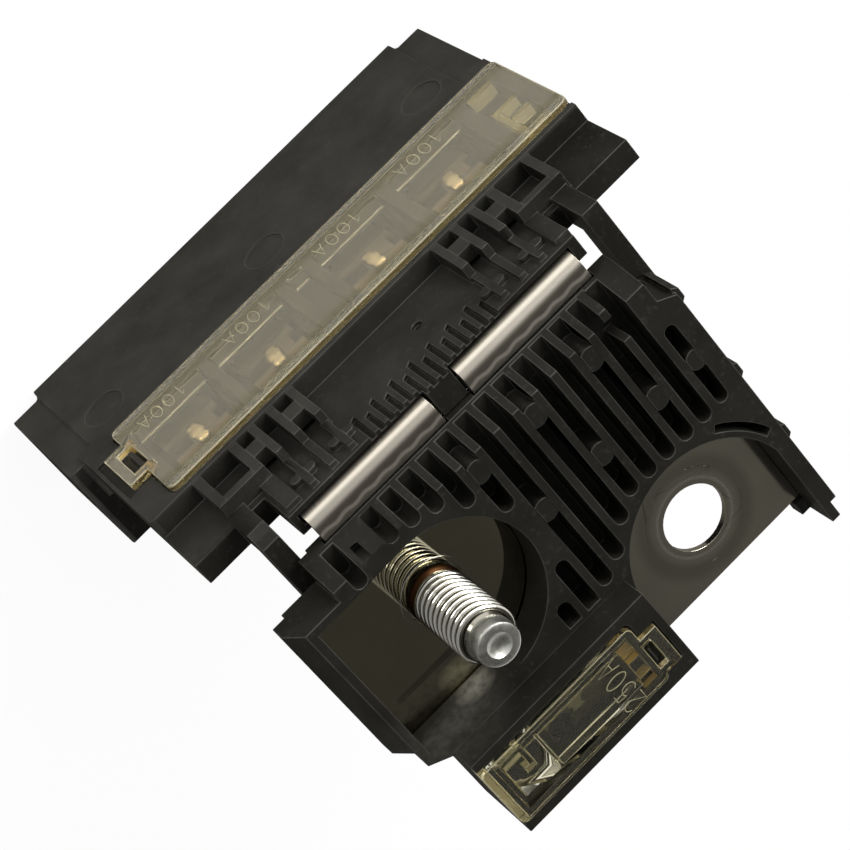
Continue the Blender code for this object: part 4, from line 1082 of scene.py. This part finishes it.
def plane(name, centre, right, up, w, h):
    """A flat card round a centre, w by h millimetres."""
    c, r, u = Vector(centre), Vector(right).normalized() * w / 2, Vector(up).normalized() * h / 2
    corners = (c - r - u, c + r - u, c + r + u, c - r + u)
    mesh = bpy.data.meshes.new(name)
    mesh.from_pydata([tuple(p * MM) for p in corners], [], [(0, 1, 2, 3)])
    ob = new_object(name, mesh)
    return ob


floor = plane("floor", (0, 0, FLOOR_Z), (1, 0, 0), (0, 1, 0), FLOOR_SIZE, FLOOR_SIZE)
floor_mat, tree, shader = start("floor_white", Roughness=0.9, Specular_IOR_Level=0.0)
rays = add(tree, "ShaderNodeLightPath").outputs
mirror = times(tree, rays["Is Glossy Ray"], minus(tree, 1.0, rays["Is Transmission Ray"]))
tree.links.new(blend(tree, mirror, FLOOR_GREY, FLOOR_IN_MIRROR), shader.inputs["Base Color"])
shine = add(tree, "ShaderNodeEmission", None, Color=(1.0, 1.0, 1.0, 1.0), Strength=1.0)
mix = add(tree, "ShaderNodeMixShader", None, i0=times(tree, rays["Is Camera Ray"], FLOOR_GLOW),
          i1=shader.outputs[0], i2=shine.outputs[0])
tree.links.new(mix.outputs[0], tree.nodes["Material Output"].inputs["Surface"])
floor.data.materials.append(floor_mat)
print("floor at", FLOOR_Z)

# %% [markdown]
# ## A dark card
# Opposite the flat sheet hangs a dark card that only reflections see. It keeps the sheet dark while the
# stud stays bright, and it is a little lighter at the -X side, as the sheet is in the photograph.

# %% Hang the card
CARD_PLACE, CARD_UP, CARD_W, CARD_H = (-30, 330, 520), (0, 0.84, -0.53), 1400, 900
CARD_X, CARD_LEVELS = (-70, -35), (0.08, 0.045)          # its glow falls between these X places
card = plane("dark_card", CARD_PLACE, (1, 0, 0), CARD_UP, CARD_W, CARD_H)
card_mat, tree, shader = start("card_grey")
x = add(tree, "ShaderNodeSeparateXYZ", None, Vector=on_piece(tree)).outputs[0]
glow = add(tree, "ShaderNodeEmission", None, Color=(1.0, 0.97, 0.84, 1.0),
           Strength=span(tree, x, CARD_X[0] * MM, CARD_X[1] * MM, *CARD_LEVELS))
tree.links.new(glow.outputs[0], tree.nodes["Material Output"].inputs["Surface"])
card.data.materials.append(card_mat)
for kind in ("camera", "diffuse", "transmission", "shadow", "volume_scatter"):
    setattr(card, "visible_" + kind, False)
print("card hangs at", [round(x) for x in card.data.polygons[0].center / MM])

# %% [markdown]
# ## Lamps
# Three soft lamps give the shapes their shading: a key from the upper left, a very large and soft fill
# from the front, and a small one from the right for the glint on the stud's thread.

# %% Set the lamps
AIM = Vector((13, -17, -25))
LAMPS = {                                  # place, diameter and watts
    "key": ((-420, -260, 420), 420, 4.0),
    "fill": ((-240, -640, -20), 950, 3.8),
    "glint": ((300, -590, 70), 250, 0.95),
}
for name, (place, size, watts) in LAMPS.items():
    data = bpy.data.lights.new(name, "AREA")
    data.shape = "DISK"
    data.size = size * MM
    data.energy = watts
    ob = new_object(name, data)
    turn = (Vector(place) - AIM).normalized().to_track_quat("Z", "Y").to_matrix().to_4x4()
    ob.matrix_world = Matrix.Translation(Vector(place) * MM) @ turn
    print("lamp", name, "at", place)

# %% [markdown]
# ## Colours
# Standard view shows each colour as it is written.

# %% Set the view
scene = bpy.context.scene
scene.view_settings.view_transform = "Standard"
